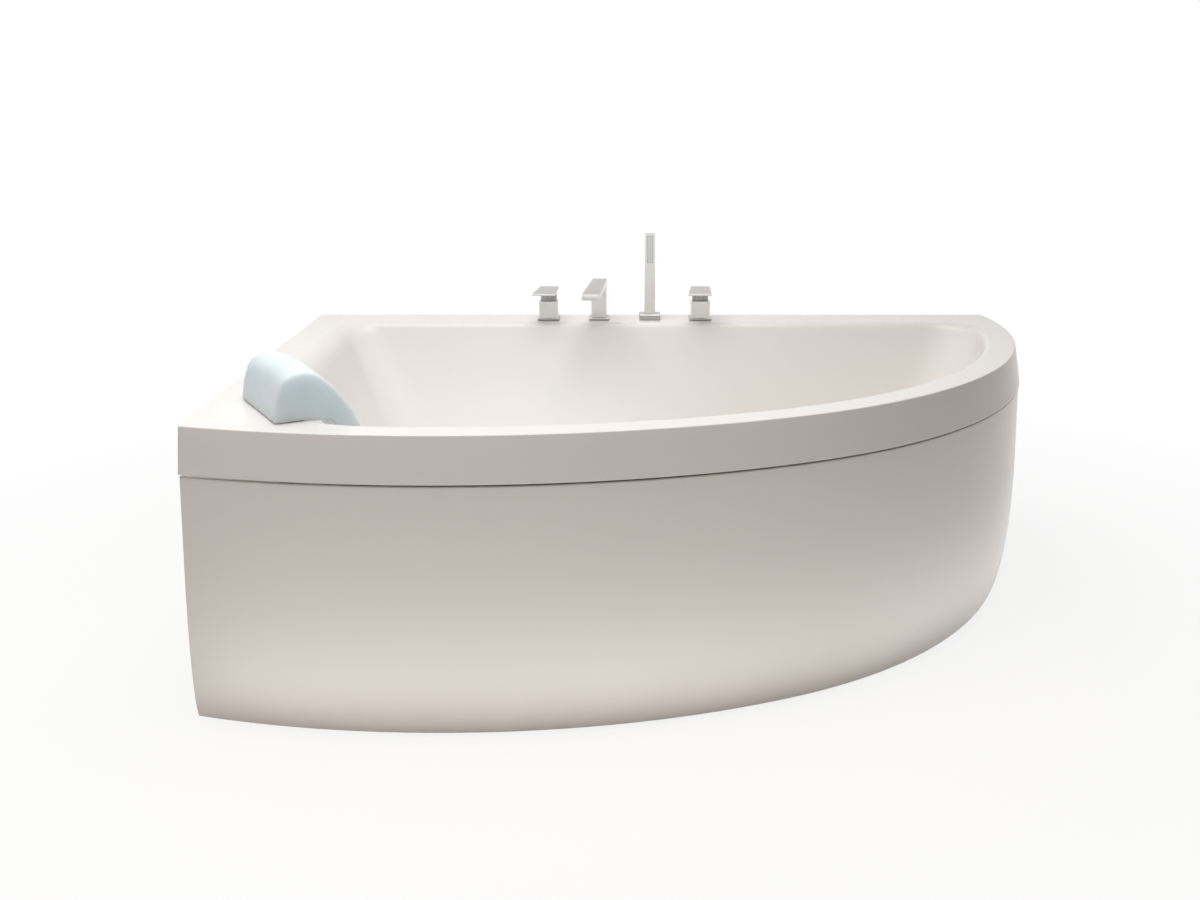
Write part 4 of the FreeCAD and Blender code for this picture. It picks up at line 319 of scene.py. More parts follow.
class Basin:
    """The basin's outline at any drop under the rim."""

    def __init__(self, sizes, plan):
        self.sizes = sizes
        self.plan = plan
        self.depth = RIM_HEIGHT - sizes.basin_floor

    def wall_inset(self, drop, lean, roll, floor_radius):
        start = self.sizes.roll_start
        wall = math.pi / 2.0 - lean
        roll_drop = roll * (math.cos(start) - math.cos(wall))
        roll_run = roll * (math.sin(wall) - math.sin(start))
        straight_drop = self.depth - roll_drop - floor_radius * (1.0 - math.cos(wall))
        straight_run = straight_drop / math.tan(wall)
        if drop < roll_drop:
            return roll * (math.sin(math.acos(math.cos(start) - drop / roll)) - math.sin(start))
        if drop < roll_drop + straight_drop:
            return roll_run + (drop - roll_drop) / math.tan(wall)
        angle = math.acos(max(-1.0, min(1.0, 1.0 - (self.depth - drop) / floor_radius)))
        return roll_run + straight_run + floor_radius * (math.sin(wall) - math.sin(angle))

    def front_inset(self, drop):
        sizes = self.sizes
        return sizes.front_rim + self.wall_inset(drop, sizes.front_slope, sizes.rim_roll,
                                                 sizes.floor_radius)

    def ring(self, bm, drop, grow, z):
        """Closed outline at this drop, moved out by grow. Gives its edges."""
        sizes = self.sizes
        plan = self.plan
        before = set(bm.edges)
        front_inset = self.front_inset(drop)
        share = (front_inset - sizes.front_rim) / (self.front_inset(self.depth) - sizes.front_rim)
        back = BACK + grow - sizes.back_rim - self.wall_inset(drop, sizes.back_slope,
                                                             sizes.rim_roll, sizes.floor_radius)
        left = LEFT - grow + sizes.left_rim + self.wall_inset(drop, sizes.left_slope,
                                                             sizes.left_roll,
                                                             sizes.left_floor_radius)
        radii = [rim + (sizes.floor_corner - rim) * share + grow
                 for rim in (sizes.back_right_corner, sizes.front_left_corner,
                             sizes.back_left_corner)]
        right = corner_centre(back, False, plan.end_centre,
                              plan.end_radius - front_inset + grow - radii[0], radii[0])
        near = corner_centre(left, True, plan.front_centre,
                             plan.front_radius - front_inset + grow - radii[1], radii[1])
        far = Vector((left + radii[2], back - radii[2]))
        right_turn = heading(right - plan.end_centre)
        near_turn = heading(near - plan.front_centre)
        start = vert_at(bm, far.x, back, z)
        vert = run(bm, start, right.x, back, BASIN_STEPS)
        vert = turn(bm, vert, right, right_turn - math.pi / 2.0, CORNER_STEPS)
        vert = turn(bm, vert, plan.end_centre, plan.join - right_turn, END_STEPS)
        vert = turn(bm, vert, plan.front_centre, near_turn - plan.join, BASIN_STEPS)
        vert = turn(bm, vert, near, -math.pi - near_turn, BASIN_STEPS)
        vert = run(bm, vert, left, far.y, BASIN_LEFT_STEPS)
        last = turn(bm, vert, far, -math.pi / 2.0, CORNER_STEPS)
        bmesh.ops.pointmerge(bm, verts=[start, last], merge_co=start.co)
        return edges_since(bm, before)

    def drops(self):
        """Drops of the rings from rim to floor, closest together at both curves."""
        half = self.depth / 2.0
        upper = [half * (k / UPPER_RINGS) ** 2.2 for k in range(UPPER_RINGS + 1)]
        lower = [self.depth - half * (k / LOWER_RINGS) ** 2
                 for k in range(LOWER_RINGS - 1, -1, -1)]
        return upper + lower


# ---- meshes
def piece_from(bm, name, finish_name, body="bath", smooth_above=None):
    """Makes the mesh an object at the origin that rides on the body."""
    mesh = bpy.data.meshes.new(name)
    bm.to_mesh(mesh)
    bm.free()
    made = bpy.data.objects.new(name, mesh)
    bpy.context.scene.collection.objects.link(made)
    mesh.materials.append(finish(finish_name))
    mesh.shade_smooth()
    if smooth_above is not None:
        mesh.set_sharp_from_angle(angle=math.radians(smooth_above))
    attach(made, body)
    return made


def brush_metal(made, neck_top=0.0):
    """Grain to the front on flat faces, level elsewhere. Flat faces take a darker nickel, painted
    shade on the tops. Faces below the neck's top take a dark nickel, painted shade under the
    lever plate.
    """
    # Slot 1 is the flat-top nickel, darker as painted shade; slot 2 is the dark nickel, painted
    # shade below the neck's top
    for name in ("brushed_nickel_painted_shade_top", "dark_nickel"):
        made.data.materials.append(finish(name))
    for face in made.data.polygons:
        face.material_index = 1 if abs(face.normal.z) > FLAT else 0
        if face.center.z < neck_top:
            face.material_index = 2


def point_outwards(bm, score, outward):
    """Recalculates the normals, and turns them all if the best face by score faces in."""
    bmesh.ops.recalc_face_normals(bm, faces=bm.faces)
    face = max(bm.faces, key=score)
    if face.normal.dot(outward) <= 0.0:
        bmesh.ops.reverse_faces(bm, faces=bm.faces)


def thicken(made, thickness):
    wall = made.modifiers.new("Wall", "SOLIDIFY")
    wall.thickness = thickness
    wall.offset = -1.0
    wall.use_quality_normals = True


def soften(bm, width, segments, angle=30.0):
    """Bevels every edge whose faces meet at more than the angle."""
    edges = [e for e in bm.edges if e.is_manifold and e.calc_face_angle() > math.radians(angle)]
    bmesh.ops.bevel(bm, geom=edges, offset=width, affect="EDGES", segments=segments, profile=0.5,
                    material=-1, clamp_overlap=True)


def block(low, high):
    """Box mesh between two corners."""
    bm = bmesh.new()
    bmesh.ops.create_cube(bm, size=1.0)
    size = [b - a for a, b in zip(low, high)]
    bmesh.ops.scale(bm, verts=bm.verts, vec=size)
    bmesh.ops.translate(bm, verts=bm.verts, vec=[(a + b) / 2.0 for a, b in zip(low, high)])
    return bm


def verts_of(geometry):
    return [item for item in geometry if isinstance(item, bmesh.types.BMVert)]


def circle(bm, radius, x, y, z, segments):
    """Closed ring of edges."""
    before = set(bm.edges)
    bmesh.ops.create_circle(bm, segments=segments, radius=radius,
                            matrix=Matrix.Translation((x, y, z)))
    return edges_since(bm, before)


def extend(bm, faces, distance):
    """Extrudes the faces by the vector. Gives the vertices of their new end."""
    end = verts_of(bmesh.ops.extrude_face_region(bm, geom=faces)["geom"])
    bmesh.ops.delete(bm, geom=faces, context="FACES_ONLY")
    bmesh.ops.translate(bm, verts=end, vec=distance)
    return end


def widen(bm, verts, x, growth):
    """Scales the vertices across, away from x."""
    bmesh.ops.scale(bm, verts=verts, vec=(growth, 1.0, 1.0),
                    space=Matrix.Translation((-x, 0.0, 0.0)))


def rotate_about(bm, x, y, angle):
    bmesh.ops.rotate(bm, verts=bm.verts, cent=(x, y, 0.0),
                     matrix=Matrix.Rotation(angle, 3, "Z"))


def middle_of(node):
    low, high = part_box(node)
    return (low.x + high.x) / 2.0, (low.y + high.y) / 2.0


def join_into(bm, other):
    """Adds the other mesh to this one."""
    mesh = bpy.data.meshes.new("joined")
    other.to_mesh(mesh)
    other.free()
    bm.from_mesh(mesh)
    bpy.data.meshes.remove(mesh)


# ---- finishes
NOISE_RANGE = (0.3, 0.7)  # noise mostly lies between these


def finish(name):
    """The scene's own material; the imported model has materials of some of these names."""
    return bpy.data.materials[name + "_finish"]


def shader_of(name):
    """Node tree and principled shader of a new material."""
    made = bpy.data.materials.new(name + "_finish")
    made.use_nodes = True
    return made.node_tree, made.node_tree.nodes["Principled BSDF"]


def shade(base, factor):
    """The colour made darker or lighter."""
    return [min(1.0, channel * factor) for channel in base]


def object_pattern(tree, stretch=(1.0, 1.0, 1.0)):
    """Object coordinates, stretched by the three factors."""
    place = tree.nodes.new("ShaderNodeTexCoord")
    mapping = tree.nodes.new("ShaderNodeMapping")
    mapping.inputs["Scale"].default_value = stretch
    tree.links.new(place.outputs["Object"], mapping.inputs["Vector"])
    return mapping.outputs["Vector"]


def noise(tree, vector, scale, detail=3.0):
    made = tree.nodes.new("ShaderNodeTexNoise")
    made.inputs["Scale"].default_value = scale
    made.inputs["Detail"].default_value = detail
    tree.links.new(vector, made.inputs["Vector"])
    return made.outputs["Fac"]


def map_range(tree, value, source, target):
    """Maps the value from one pair of limits to the other."""
    made = tree.nodes.new("ShaderNodeMapRange")
    made.inputs["From Min"].default_value, made.inputs["From Max"].default_value = source
    made.inputs["To Min"].default_value, made.inputs["To Max"].default_value = target
    tree.links.new(value, made.inputs["Value"])
    return made.outputs["Result"]


def vary_roughness(tree, shader, value, low, high):
    tree.links.new(map_range(tree, value, NOISE_RANGE, (low, high)), shader.inputs["Roughness"])


def vary_colour(tree, shader, value, first, second):
    made = tree.nodes.new("ShaderNodeValToRGB")
    for element, position, shown in zip(made.color_ramp.elements, NOISE_RANGE, (first, second)):
        element.position = position
        element.color = (*shown, 1.0)
    tree.links.new(value, made.inputs["Fac"])
    tree.links.new(made.outputs["Color"], shader.inputs["Base Color"])


def relief(tree, shader, value, depth, strength=0.3):
    bump = tree.nodes.new("ShaderNodeBump")
    bump.inputs["Distance"].default_value = depth
    bump.inputs["Strength"].default_value = strength
    tree.links.new(value, bump.inputs["Height"])
    tree.links.new(bump.outputs["Normal"], shader.inputs["Normal"])


def surface(name, base, spread, rough, rough_spread, scale, metallic, grain_depth):
    """Finish whose colour, roughness and relief vary with two noises."""
    tree, shader = shader_of(name)
    vector = object_pattern(tree)
    wide = noise(tree, vector, scale)
    fine = noise(tree, vector, scale * 7.0, 5.0)
    vary_colour(tree, shader, wide, shade(base, 1.0 - spread), shade(base, 1.0 + spread))
    vary_roughness(tree, shader, fine, rough - rough_spread, rough + rough_spread)
    shader.inputs["Metallic"].default_value = metallic
    if grain_depth:
        relief(tree, shader, fine, grain_depth)


def acrylic_finish(name, base):
    """Gloss acrylic: nearly even colour, faint waviness from the forming, clear gloss."""
    tree, shader = shader_of(name)
    vector = object_pattern(tree)
    cloud = noise(tree, vector, 2.2, 2.0)
    wave = noise(tree, vector, 9.0, 1.0)
    vary_colour(tree, shader, cloud, shade(base, 0.992), shade(base, 1.008))
    vary_roughness(tree, shader, noise(tree, vector, 60.0), 0.18, 0.24)
    shader.inputs["IOR"].default_value = 1.49
    shader.inputs["Specular IOR Level"].default_value = 0.25
    relief(tree, shader, wave, 0.0006, 0.25)


def brushed_finish(name, base, stretch, rough=0.35):
    """Brushed metal: fine scratches at right angles to the stretched direction."""
    tree, shader = shader_of(name)
    scratches = noise(tree, object_pattern(tree, stretch), 60.0, 6.0)
    vary_colour(tree, shader, scratches, shade(base, 0.93), shade(base, 1.06))
    vary_roughness(tree, shader, scratches, rough - 0.06, rough + 0.08)
    shader.inputs["Metallic"].default_value = 1.0
    shader.inputs["Anisotropic"].default_value = 0.35
    relief(tree, shader, scratches, 0.00008, 0.4)


def gel_finish(name, base):
    """Soft translucent gel: light passes through it and scatters, with a satin skin."""
    tree, shader = shader_of(name)
    vector = object_pattern(tree)
    cloud = noise(tree, vector, 14.0, 3.0)
    vary_colour(tree, shader, cloud, base, shade(base, 1.05))
    vary_roughness(tree, shader, noise(tree, vector, 120.0), 0.3, 0.38)
    shader.inputs["IOR"].default_value = 1.42
    shader.inputs["Subsurface Weight"].default_value = 0.9
    shader.inputs["Subsurface Radius"].default_value = (0.8, 0.9, 1.0)
    shader.inputs["Subsurface Scale"].default_value = 0.05


def timber_finish(name, base, ring_scale, stretch):
    """Timber board: long bands of darker grain."""
    tree, shader = shader_of(name)
    bands = tree.nodes.new("ShaderNodeTexWave")
    bands.inputs["Scale"].default_value = ring_scale
    bands.inputs["Distortion"].default_value = 6.0
    bands.inputs["Detail"].default_value = 4.0
    tree.links.new(object_pattern(tree, stretch), bands.inputs["Vector"])
    vary_colour(tree, shader, bands.outputs["Fac"], shade(base, 0.72), base)
    vary_roughness(tree, shader, bands.outputs["Fac"], 0.55, 0.75)
    relief(tree, shader, bands.outputs["Fac"], 0.0004)


def chip_finish(name, base):
    """Chipboard: flakes of different browns."""
    tree, shader = shader_of(name)
    flakes = tree.nodes.new("ShaderNodeTexVoronoi")
    flakes.inputs["Scale"].default_value = 220.0
    tree.links.new(object_pattern(tree, (1.0, 1.6, 1.0)), flakes.inputs["Vector"])
    vary_colour(tree, shader, flakes.outputs["Color"], shade(base, 0.6), base)
    vary_roughness(tree, shader, flakes.outputs["Distance"], 0.6, 0.8)
    relief(tree, shader, flakes.outputs["Distance"], 0.0003)


# Name, colour and its spread, roughness and its spread, noise scale, metallic, grain depth
SURFACES = (
    ("polished_chrome", (0.83, 0.83, 0.84), 0.02, 0.06, 0.02, 20.0, 1.0, 0.0),
    ("zinc_plate", (0.62, 0.63, 0.64), 0.12, 0.38, 0.1, 60.0, 1.0, 0.0001),
    ("spring_steel", (0.4, 0.42, 0.45), 0.08, 0.38, 0.08, 50.0, 1.0, 0.0),
    ("painted_frame", (0.30, 0.31, 0.32), 0.06, 0.45, 0.1, 25.0, 0.0, 0.0002),
    ("magnet_steel", (0.12, 0.12, 0.13), 0.15, 0.4, 0.1, 80.0, 1.0, 0.0),
    ("turned_brass", (0.68, 0.49, 0.22), 0.08, 0.37, 0.08, 60.0, 1.0, 0.00008),
    ("copper_pipe", (0.72, 0.34, 0.2), 0.12, 0.38, 0.09, 25.0, 1.0, 0.0),
    ("black_rubber", (0.02, 0.02, 0.02), 0.3, 0.7, 0.12, 90.0, 0.0, 0.0002),
    ("nozzle_rubber", (0.06, 0.06, 0.058), 0.15, 0.55, 0.1, 90.0, 0.0, 0.0),
    ("clear_sucker", (0.62, 0.72, 0.75), 0.04, 0.18, 0.06, 60.0, 0.0, 0.0),
    ("white_waste_plastic", (0.78, 0.78, 0.77), 0.03, 0.4, 0.08, 30.0, 0.0, 0.0001),
    ("valve_plastic", (0.6, 0.6, 0.57), 0.05, 0.5, 0.08, 60.0, 0.0, 0.0001),
    ("grey_plastic", (0.34, 0.33, 0.32), 0.08, 0.42, 0.08, 80.0, 0.0, 0.0001),
    ("foot_plastic", (0.03, 0.03, 0.03), 0.2, 0.5, 0.1, 60.0, 0.0, 0.0002),
)


def mix_finishes(colours):
    """Makes every finish of the tub."""
    level, to_front = (1.0, 1.0, 30.0), (30.0, 1.0, 1.0)
    acrylic_finish("gloss_acrylic", colours.acrylic)
    brushed_finish("brushed_nickel", colours.nickel, level)
    # Flat tops: brushed to the front, in a darker nickel that is painted shade
    brushed_finish("brushed_nickel_painted_shade_top", colours.top_nickel_painted_shade, to_front)
    # Half-bright copy of the nickel: painted shade for the neck and collar under the lever plates
    brushed_finish("dark_nickel", shade(colours.nickel, 0.45), level, 0.38)
    gel_finish("headrest_gel", colours.gel)
    for values in SURFACES:
        surface(*values)
    timber_finish("plywood", (0.55, 0.38, 0.2), 6.0, (0.6, 8.0, 30.0))
    chip_finish("chipboard", (0.52, 0.38, 0.2))


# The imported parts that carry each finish; studs and pads stand here without their numbers
FINISHED_NODES = {
    "gloss_acrylic": ("tub_shell", "front_panel"),
    "headrest_gel": ("headrest_cushion",),
    "brushed_nickel": ("mixer_body", "diverter_body", "spout_body", "hand_shower_body",
                       "hand_shower_face"),
    # Painted shade: this nickel is darker than the upright nickel
    "brushed_nickel_painted_shade_top": ("mixer_lever", "diverter_handle", "mixer_escutcheon",
                            "spout_escutcheon", "shower_escutcheon", "diverter_escutcheon"),
    # Painted shade: the collar sits in the shade of the lever plate
    "dark_nickel": ("mixer_collar",),
    "polished_chrome": ("drain_flange", "drain_plug", "overflow_knob"),
    "turned_brass": ("deck_nuts", "mixer_valve", "diverter_valve", "spout_shank",
                     "shower_guide", "hand_shower_connector"),
    "copper_pipe": ("link_pipe", "spout_pipe"),
    "zinc_plate": ("frame_screws", "foot_nuts", "wall_brackets", "mixer_lever_pin",
                   "levelling_stud"),
    "spring_steel": ("panel_clips",),
    "magnet_steel": ("panel_catches",),
    "painted_frame": ("frame_rail_back", "frame_rail_front", "frame_cross_rails", "panel_arms"),
    "plywood": ("tap_ledge_board", "rim_batten"),
    "chipboard": ("base_board",),
    "black_rubber": ("deck_gaskets", "drain_gasket", "overflow_gasket", "plug_seal",
                     "pop_up_cable"),
    "clear_sucker": ("headrest_suckers",),
    "white_waste_plastic": ("drain_body", "trap", "overflow_body", "overflow_pipe"),
    "valve_plastic": ("mixer_cartridge", "diverter_cartridge"),
    "grey_plastic": ("spout_aerator",),
    "foot_plastic": ("foot_pad",),
}
NODE_FINISHES = {node: name for name, nodes in FINISHED_NODES.items() for node in nodes}


# ---- operators
class MakeFinishes(bpy.types.Operator):
    """Make the finishes and give every carried-over part its own"""
    bl_idname = "bath.make_finishes"
    bl_label = "Make Finishes"

    def execute(self, context):
        mix_finishes(context.scene.bath_colours)
        for name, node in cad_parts.items():
            node.data.materials.clear()
            node.data.materials.append(finish(NODE_FINISHES[name.rstrip("_0123456789")]))
        return {"FINISHED"}


def combine(tree, operation, first, second):
    made = tree.nodes.new("ShaderNodeMath")
    made.operation = operation
    tree.links.new(first, made.inputs[0])
    tree.links.new(second, made.inputs[1])
    return made.outputs[0]


def direct_view(tree):
    """1 for what the camera sees itself, in a reflection or through a clear piece."""
    rays = tree.nodes.new("ShaderNodeLightPath")
    value = rays.outputs["Is Camera Ray"]
    for name in ("Is Glossy Ray", "Is Transmission Ray"):
        value = combine(tree, "MAXIMUM", value, rays.outputs[name])
    return value


def blend_shaders(tree, share, first, second, output):
    """Gives the output the first shader, and by its share the second."""
    blend = tree.nodes.new("ShaderNodeMixShader")
    tree.links.new(share, blend.inputs[0])
    tree.links.new(first.outputs[0], blend.inputs[1])
    tree.links.new(second.outputs[0], blend.inputs[2])
    tree.links.new(blend.outputs[0], tree.nodes[output].inputs["Surface"])


class MakeStage(bpy.types.Operator):
    """Make the pale floor, the soft light and the camera"""
    bl_idname = "bath.make_stage"
    bl_label = "Make Stage"

    def execute(self, context):
        scene = context.scene
        self.make_camera(scene)
        self.make_floor(scene)
        self.make_lights(scene)
        scene.view_settings.view_transform = "Standard"
        return {"FINISHED"}

    def make_camera(self, scene):
        lens = bpy.data.cameras.new("View")
        lens.lens = LENS_LENGTH
        lens.shift_x, lens.shift_y = LENS_SHIFT
        lens.clip_end = CLIP_END
        camera = bpy.data.objects.new("View", lens)
        camera.location = CAMERA_PLACE
        camera.rotation_euler = (math.radians(CAMERA_TILT), 0.0, 0.0)
        scene.collection.objects.link(camera)
        scene.camera = camera

    def make_floor(self, scene):
        """Floor that pales with the distance from the tub, where it is seen directly."""
        bm = bmesh.new()
        bmesh.ops.create_grid(bm, x_segments=1, y_segments=1, size=FLOOR_SIZE)
        mesh = bpy.data.meshes.new("floor")
        bm.to_mesh(mesh)
        bm.free()
        floor = bpy.data.objects.new("floor", mesh)
        floor.location.z = -FLOOR_DROP
        scene.collection.objects.link(floor)
        tree, shader = shader_of("pale_floor")
        shader.inputs["Base Color"].default_value = (*scene.bath_colours.backdrop, 1.0)
        shader.inputs["Roughness"].default_value = 0.9
        white = tree.nodes.new("ShaderNodeEmission")
        place = tree.nodes.new("ShaderNodeTexCoord")
        away = tree.nodes.new("ShaderNodeVectorMath")
        away.operation = "LENGTH"
        tree.links.new(place.outputs["Object"], away.inputs[0])
        fade = map_range(tree, away.outputs["Value"], (FADE_FROM, FADE_TO), (FADE_LOW, 1.0))
        share = combine(tree, "MULTIPLY", fade, direct_view(tree))
        blend_shaders(tree, share, shader, white, "Material Output")
        mesh.materials.append(finish("pale_floor"))

    def make_lights(self, scene):
        world = bpy.data.worlds.new("pale_room")
        world.use_nodes = True
        tree = world.node_tree
        soft = tree.nodes["Background"]
        soft.inputs["Color"].default_value = ROOM_COLOUR
        soft.inputs["Strength"].default_value = ROOM_STRENGTH
        white = tree.nodes.new("ShaderNodeBackground")
        white.inputs["Color"].default_value = (1.0, 1.0, 1.0, 1.0)
        blend_shaders(tree, direct_view(tree), soft, white, "World Output")
        scene.world = world
        self.add_lamp(scene, "overhead_softbox", SOFTBOX_PLACE, SOFTBOX_SIZE, SOFTBOX_WATTS)
        plan = Plan(scene.bath_tub)
        arcs = [(plan.front_centre, plan.front_radius, degrees) for degrees in FRONT_REFLECTORS]
        arcs += [(plan.end_centre, plan.end_radius, degrees) for degrees in END_REFLECTORS]
        for centre, radius, degrees in arcs:
            angle = math.radians(degrees)
            out = Vector((math.cos(angle), math.sin(angle)))
            place = (*(centre + out * (radius + REFLECTOR_GAP)), REFLECTOR_HEIGHT)
            self.add_reflector(scene, "floor_reflector", place, REFLECTOR_SIZE,
                               REFLECTOR_WATTS, angle)
        inside = self.add_reflector(scene, "basin_reflector", BASIN_LAMP_PLACE, BASIN_LAMP_SIZE,
                                    BASIN_LAMP_WATTS)
        inside.data.color = BASIN_LAMP_COLOUR

    def add_lamp(self, scene, name, place, size, power):
        lamp = bpy.data.lights.new(name, "AREA")
        lamp.shape = "RECTANGLE"
        lamp.size, lamp.size_y = size
        lamp.energy = power
        light = bpy.data.objects.new(name, lamp)
        light.location = place
        scene.collection.objects.link(light)
        return light

    def add_reflector(self, scene, name, place, size, power, angle=0.0):
        """Lamp that faces up and that neither the camera nor a reflection shows."""
        light = self.add_lamp(scene, name, place, size, power)
        light.rotation_euler = (math.pi, 0.0, angle)
        light.visible_camera = False
        light.visible_glossy = False
        return light


class MakeShell(bpy.types.Operator):
    """Make the tub's formed shell: deck, basin, fascia and the lips along the walls"""
    bl_idname = "bath.make_shell"
    bl_label = "Make Shell"

    def execute(self, context):
        sizes = context.scene.bath_tub
        plan = Plan(sizes)
        basin = Basin(sizes, plan)
        bm = bmesh.new()
        inner = self.add_basin(bm, basin)
        outer = self.add_fascia(bm, sizes, plan)
        rounds = self.add_tap_holes(bm)
        bmesh.ops.triangle_fill(bm, edges=inner + outer + rounds, use_beauty=True,
                                normal=(0.0, 0.0, 1.0))
        bmesh.ops.remove_doubles(bm, verts=bm.verts, dist=SAME_POINT)
        point_outwards(bm, lambda f: f.calc_area() * abs(f.normal.z), Vector((0.0, 0.0, 1.0)))
        shell = piece_from(bm, "formed_shell", "gloss_acrylic", smooth_above=SHELL_CREASE)
        thicken(shell, sizes.shell)
        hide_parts("tub_shell")
        return {"FINISHED"}

    def add_basin(self, bm, basin):
        """Walls and floor of the basin. Gives the edges of the ring on the deck."""
        deck_ring = basin.ring(bm, 0.0, DECK_STRIP, RIM_HEIGHT)
        previous = deck_ring
        for drop in basin.drops():
            ring = basin.ring(bm, drop, 0.0, RIM_HEIGHT - drop)
            bmesh.ops.bridge_loops(bm, edges=previous + ring)
            previous = ring
        low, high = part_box("drain_gasket")
        hole = circle(bm, DRAIN_HOLE_RADIUS, (low.x + high.x) / 2.0, (low.y + high.y) / 2.0,
                      RIM_HEIGHT - basin.depth, ROUND_STEPS)
        floor = bmesh.ops.triangle_fill(bm, edges=previous + hole, use_beauty=True,
                                        normal=(0.0, 0.0, 1.0))["geom"]
        bmesh.ops.inset_region(bm, faces=[f for f in floor if isinstance(f, bmesh.types.BMFace)],
                               thickness=FLOOR_STRIP, use_boundary=True, use_even_offset=True)
        return deck_ring

    def add_fascia(self, bm, sizes, plan):
        """Rounded, flared front edge and the lips. Gives the outer edges of the deck."""
        edge_round = sizes.fascia_round
        before = set(bm.edges)
        _, first, last = plan.curved_side(bm, -edge_round - DECK_STRIP, RIM_HEIGHT)
        corner = run(bm, last, LEFT, BACK, 1)
        closing = run(bm, corner, first.co.x, first.co.y, 1)
        bmesh.ops.pointmerge(bm, verts=[first, closing], merge_co=first.co)
        outer = edges_since(bm, before)
        lean = math.atan2(sizes.fascia_flare, sizes.fascia_height)
        rounding = [(-edge_round, RIM_HEIGHT)]
        for k in range(1, FASCIA_ROUND_STEPS + 1):
            angle = (math.pi / 2.0 - lean) * k / FASCIA_ROUND_STEPS
            rounding.append((edge_round * (math.sin(angle) - 1.0),
                             RIM_HEIGHT - edge_round * (1.0 - math.cos(angle))))
        drops = (sizes.lip_depth, sizes.fascia_height - END_STRIP, sizes.fascia_height)
        face = [(sizes.fascia_flare * drop / sizes.fascia_height, RIM_HEIGHT - drop)
                for drop in drops]
        ends = plan.skin(bm, rounding + face,
                         previous=[e for e in outer if corner not in e.verts])
        self.add_lips(bm, sizes, corner, ends[len(rounding)])
        return outer

    def add_lips(self, bm, sizes, corner, lip_ends):
        """Closes both wall sides from the deck's edge down to the depth of the lips."""
        low = bmesh.ops.extrude_vert_indiv(bm, verts=[corner])["verts"][0]
        bmesh.ops.translate(bm, verts=[low], vec=(0.0, 0.0, -sizes.lip_depth))
        for end in lip_ends:
            reached = run(bm, low, end.co.x, end.co.y, 1)
            bmesh.ops.pointmerge(bm, verts=[end, reached], merge_co=end.co)
        for axis, wall in ((0, LEFT), (1, BACK)):
            sides = [e for e in bm.edges if all(abs(v.co[axis] - wall) < ON_WALL and
                                                v.co.z > low.co.z - ON_WALL for v in e.verts)]
            bmesh.ops.edgeloop_fill(bm, edges=sides)

    def add_tap_holes(self, bm):
        """Holes with a narrow ring of faces round each. Gives the outer edges of the rings."""
        outer = []
        for name in ("mixer_valve", "spout_shank", "shower_guide", "diverter_valve"):
            x, y = middle_of(name)
            hole = circle(bm, TAP_HOLE_RADIUS, x, y, RIM_HEIGHT, TAP_HOLE_STEPS)
            grown = bmesh.ops.extrude_edge_only(bm, edges=hole)["geom"]
            verts = verts_of(grown)
            bmesh.ops.scale(bm, verts=verts, vec=(HOLE_STRIP_GROWTH, HOLE_STRIP_GROWTH, 1.0),
                            space=Matrix.Translation((-x, -y, 0.0)))
            outer += [item for item in grown if isinstance(item, bmesh.types.BMEdge)
                      and all(v in verts for v in item.verts)]
        return outer


class MakeFrontPanel(bpy.types.Operator):
    """Make the curved front panel that draws in towards the floor"""
    bl_idname = "bath.make_front_panel"
    bl_label = "Make Front Panel"

    def execute(self, context):
        tub = context.scene.bath_tub
        sizes = context.scene.bath_panel
        top = RIM_HEIGHT - tub.fascia_height - sizes.gap
        face = tub.fascia_flare - sizes.setback
        corner = sizes.edge_round
        levels = [(face - sizes.flange, top), (face - corner - END_STRIP, top),
                  (face - corner, top)]
        for k in range(1, PANEL_ROUND_STEPS + 1):
            angle = math.pi / 2.0 * k / PANEL_ROUND_STEPS
            levels.append((face - corner * (1.0 - math.sin(angle)),
                           top - corner * (1.0 - math.cos(angle))))
        levels.append((face, top - corner - END_STRIP))
        levels.append((face, sizes.curl_height + END_STRIP))
        for k in range(CURL_STEPS + 1):
            z = sizes.curl_height - (sizes.curl_height - sizes.floor_gap) * math.sin(
                math.pi / 2.0 * k / CURL_STEPS)
            down = (sizes.curl_height - z) / sizes.curl_height
            levels.append((face - sizes.curl * (1.0 - math.sqrt(1.0 - down ** 2)), z))
        bm = bmesh.new()
        Plan(tub).skin(bm, levels, sizes.wall_gap)
        point_outwards(bm, lambda f: -f.calc_center_median().y, Vector((0.0, -1.0, 0.0)))
        panel = piece_from(bm, "curved_panel", "gloss_acrylic", smooth_above=SHELL_CREASE)
        thicken(panel, sizes.thickness)
        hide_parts("front_panel")
        return {"FINISHED"}


class MakeHeadrest(bpy.types.Operator):
    """Make the gel headrest that leans over the rim into the basin"""
    bl_idname = "bath.make_headrest"
    bl_label = "Make Headrest"

    def execute(self, context):
        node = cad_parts["headrest_cushion"]
        bm = bmesh.new()
        bm.from_mesh(node.data)
        bmesh.ops.remove_doubles(bm, verts=bm.verts, dist=GEL_SAME_POINT)
        rest = piece_from(bm, "gel_headrest", "headrest_gel")
        grid = rest.modifiers.new("Remesh", "REMESH")
        grid.mode = "VOXEL"
        grid.voxel_size = GEL_VOXEL
        context.view_layer.objects.active = rest
        bpy.ops.object.modifier_apply(modifier=grid.name)
        bm = bmesh.new()
        bm.from_mesh(rest.data)
        for _ in range(GEL_SMOOTHINGS):
            bmesh.ops.smooth_vert(bm, verts=bm.verts, factor=0.5, use_axis_x=True,
                                  use_axis_y=True, use_axis_z=True)
        bm.to_mesh(rest.data)
        bm.free()
        rest.data.shade_smooth()
        finer = rest.modifiers.new("Finer", "SUBSURF")
        finer.levels = 1
        finer.render_levels = 1
        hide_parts("headrest_cushion")
        return {"FINISHED"}


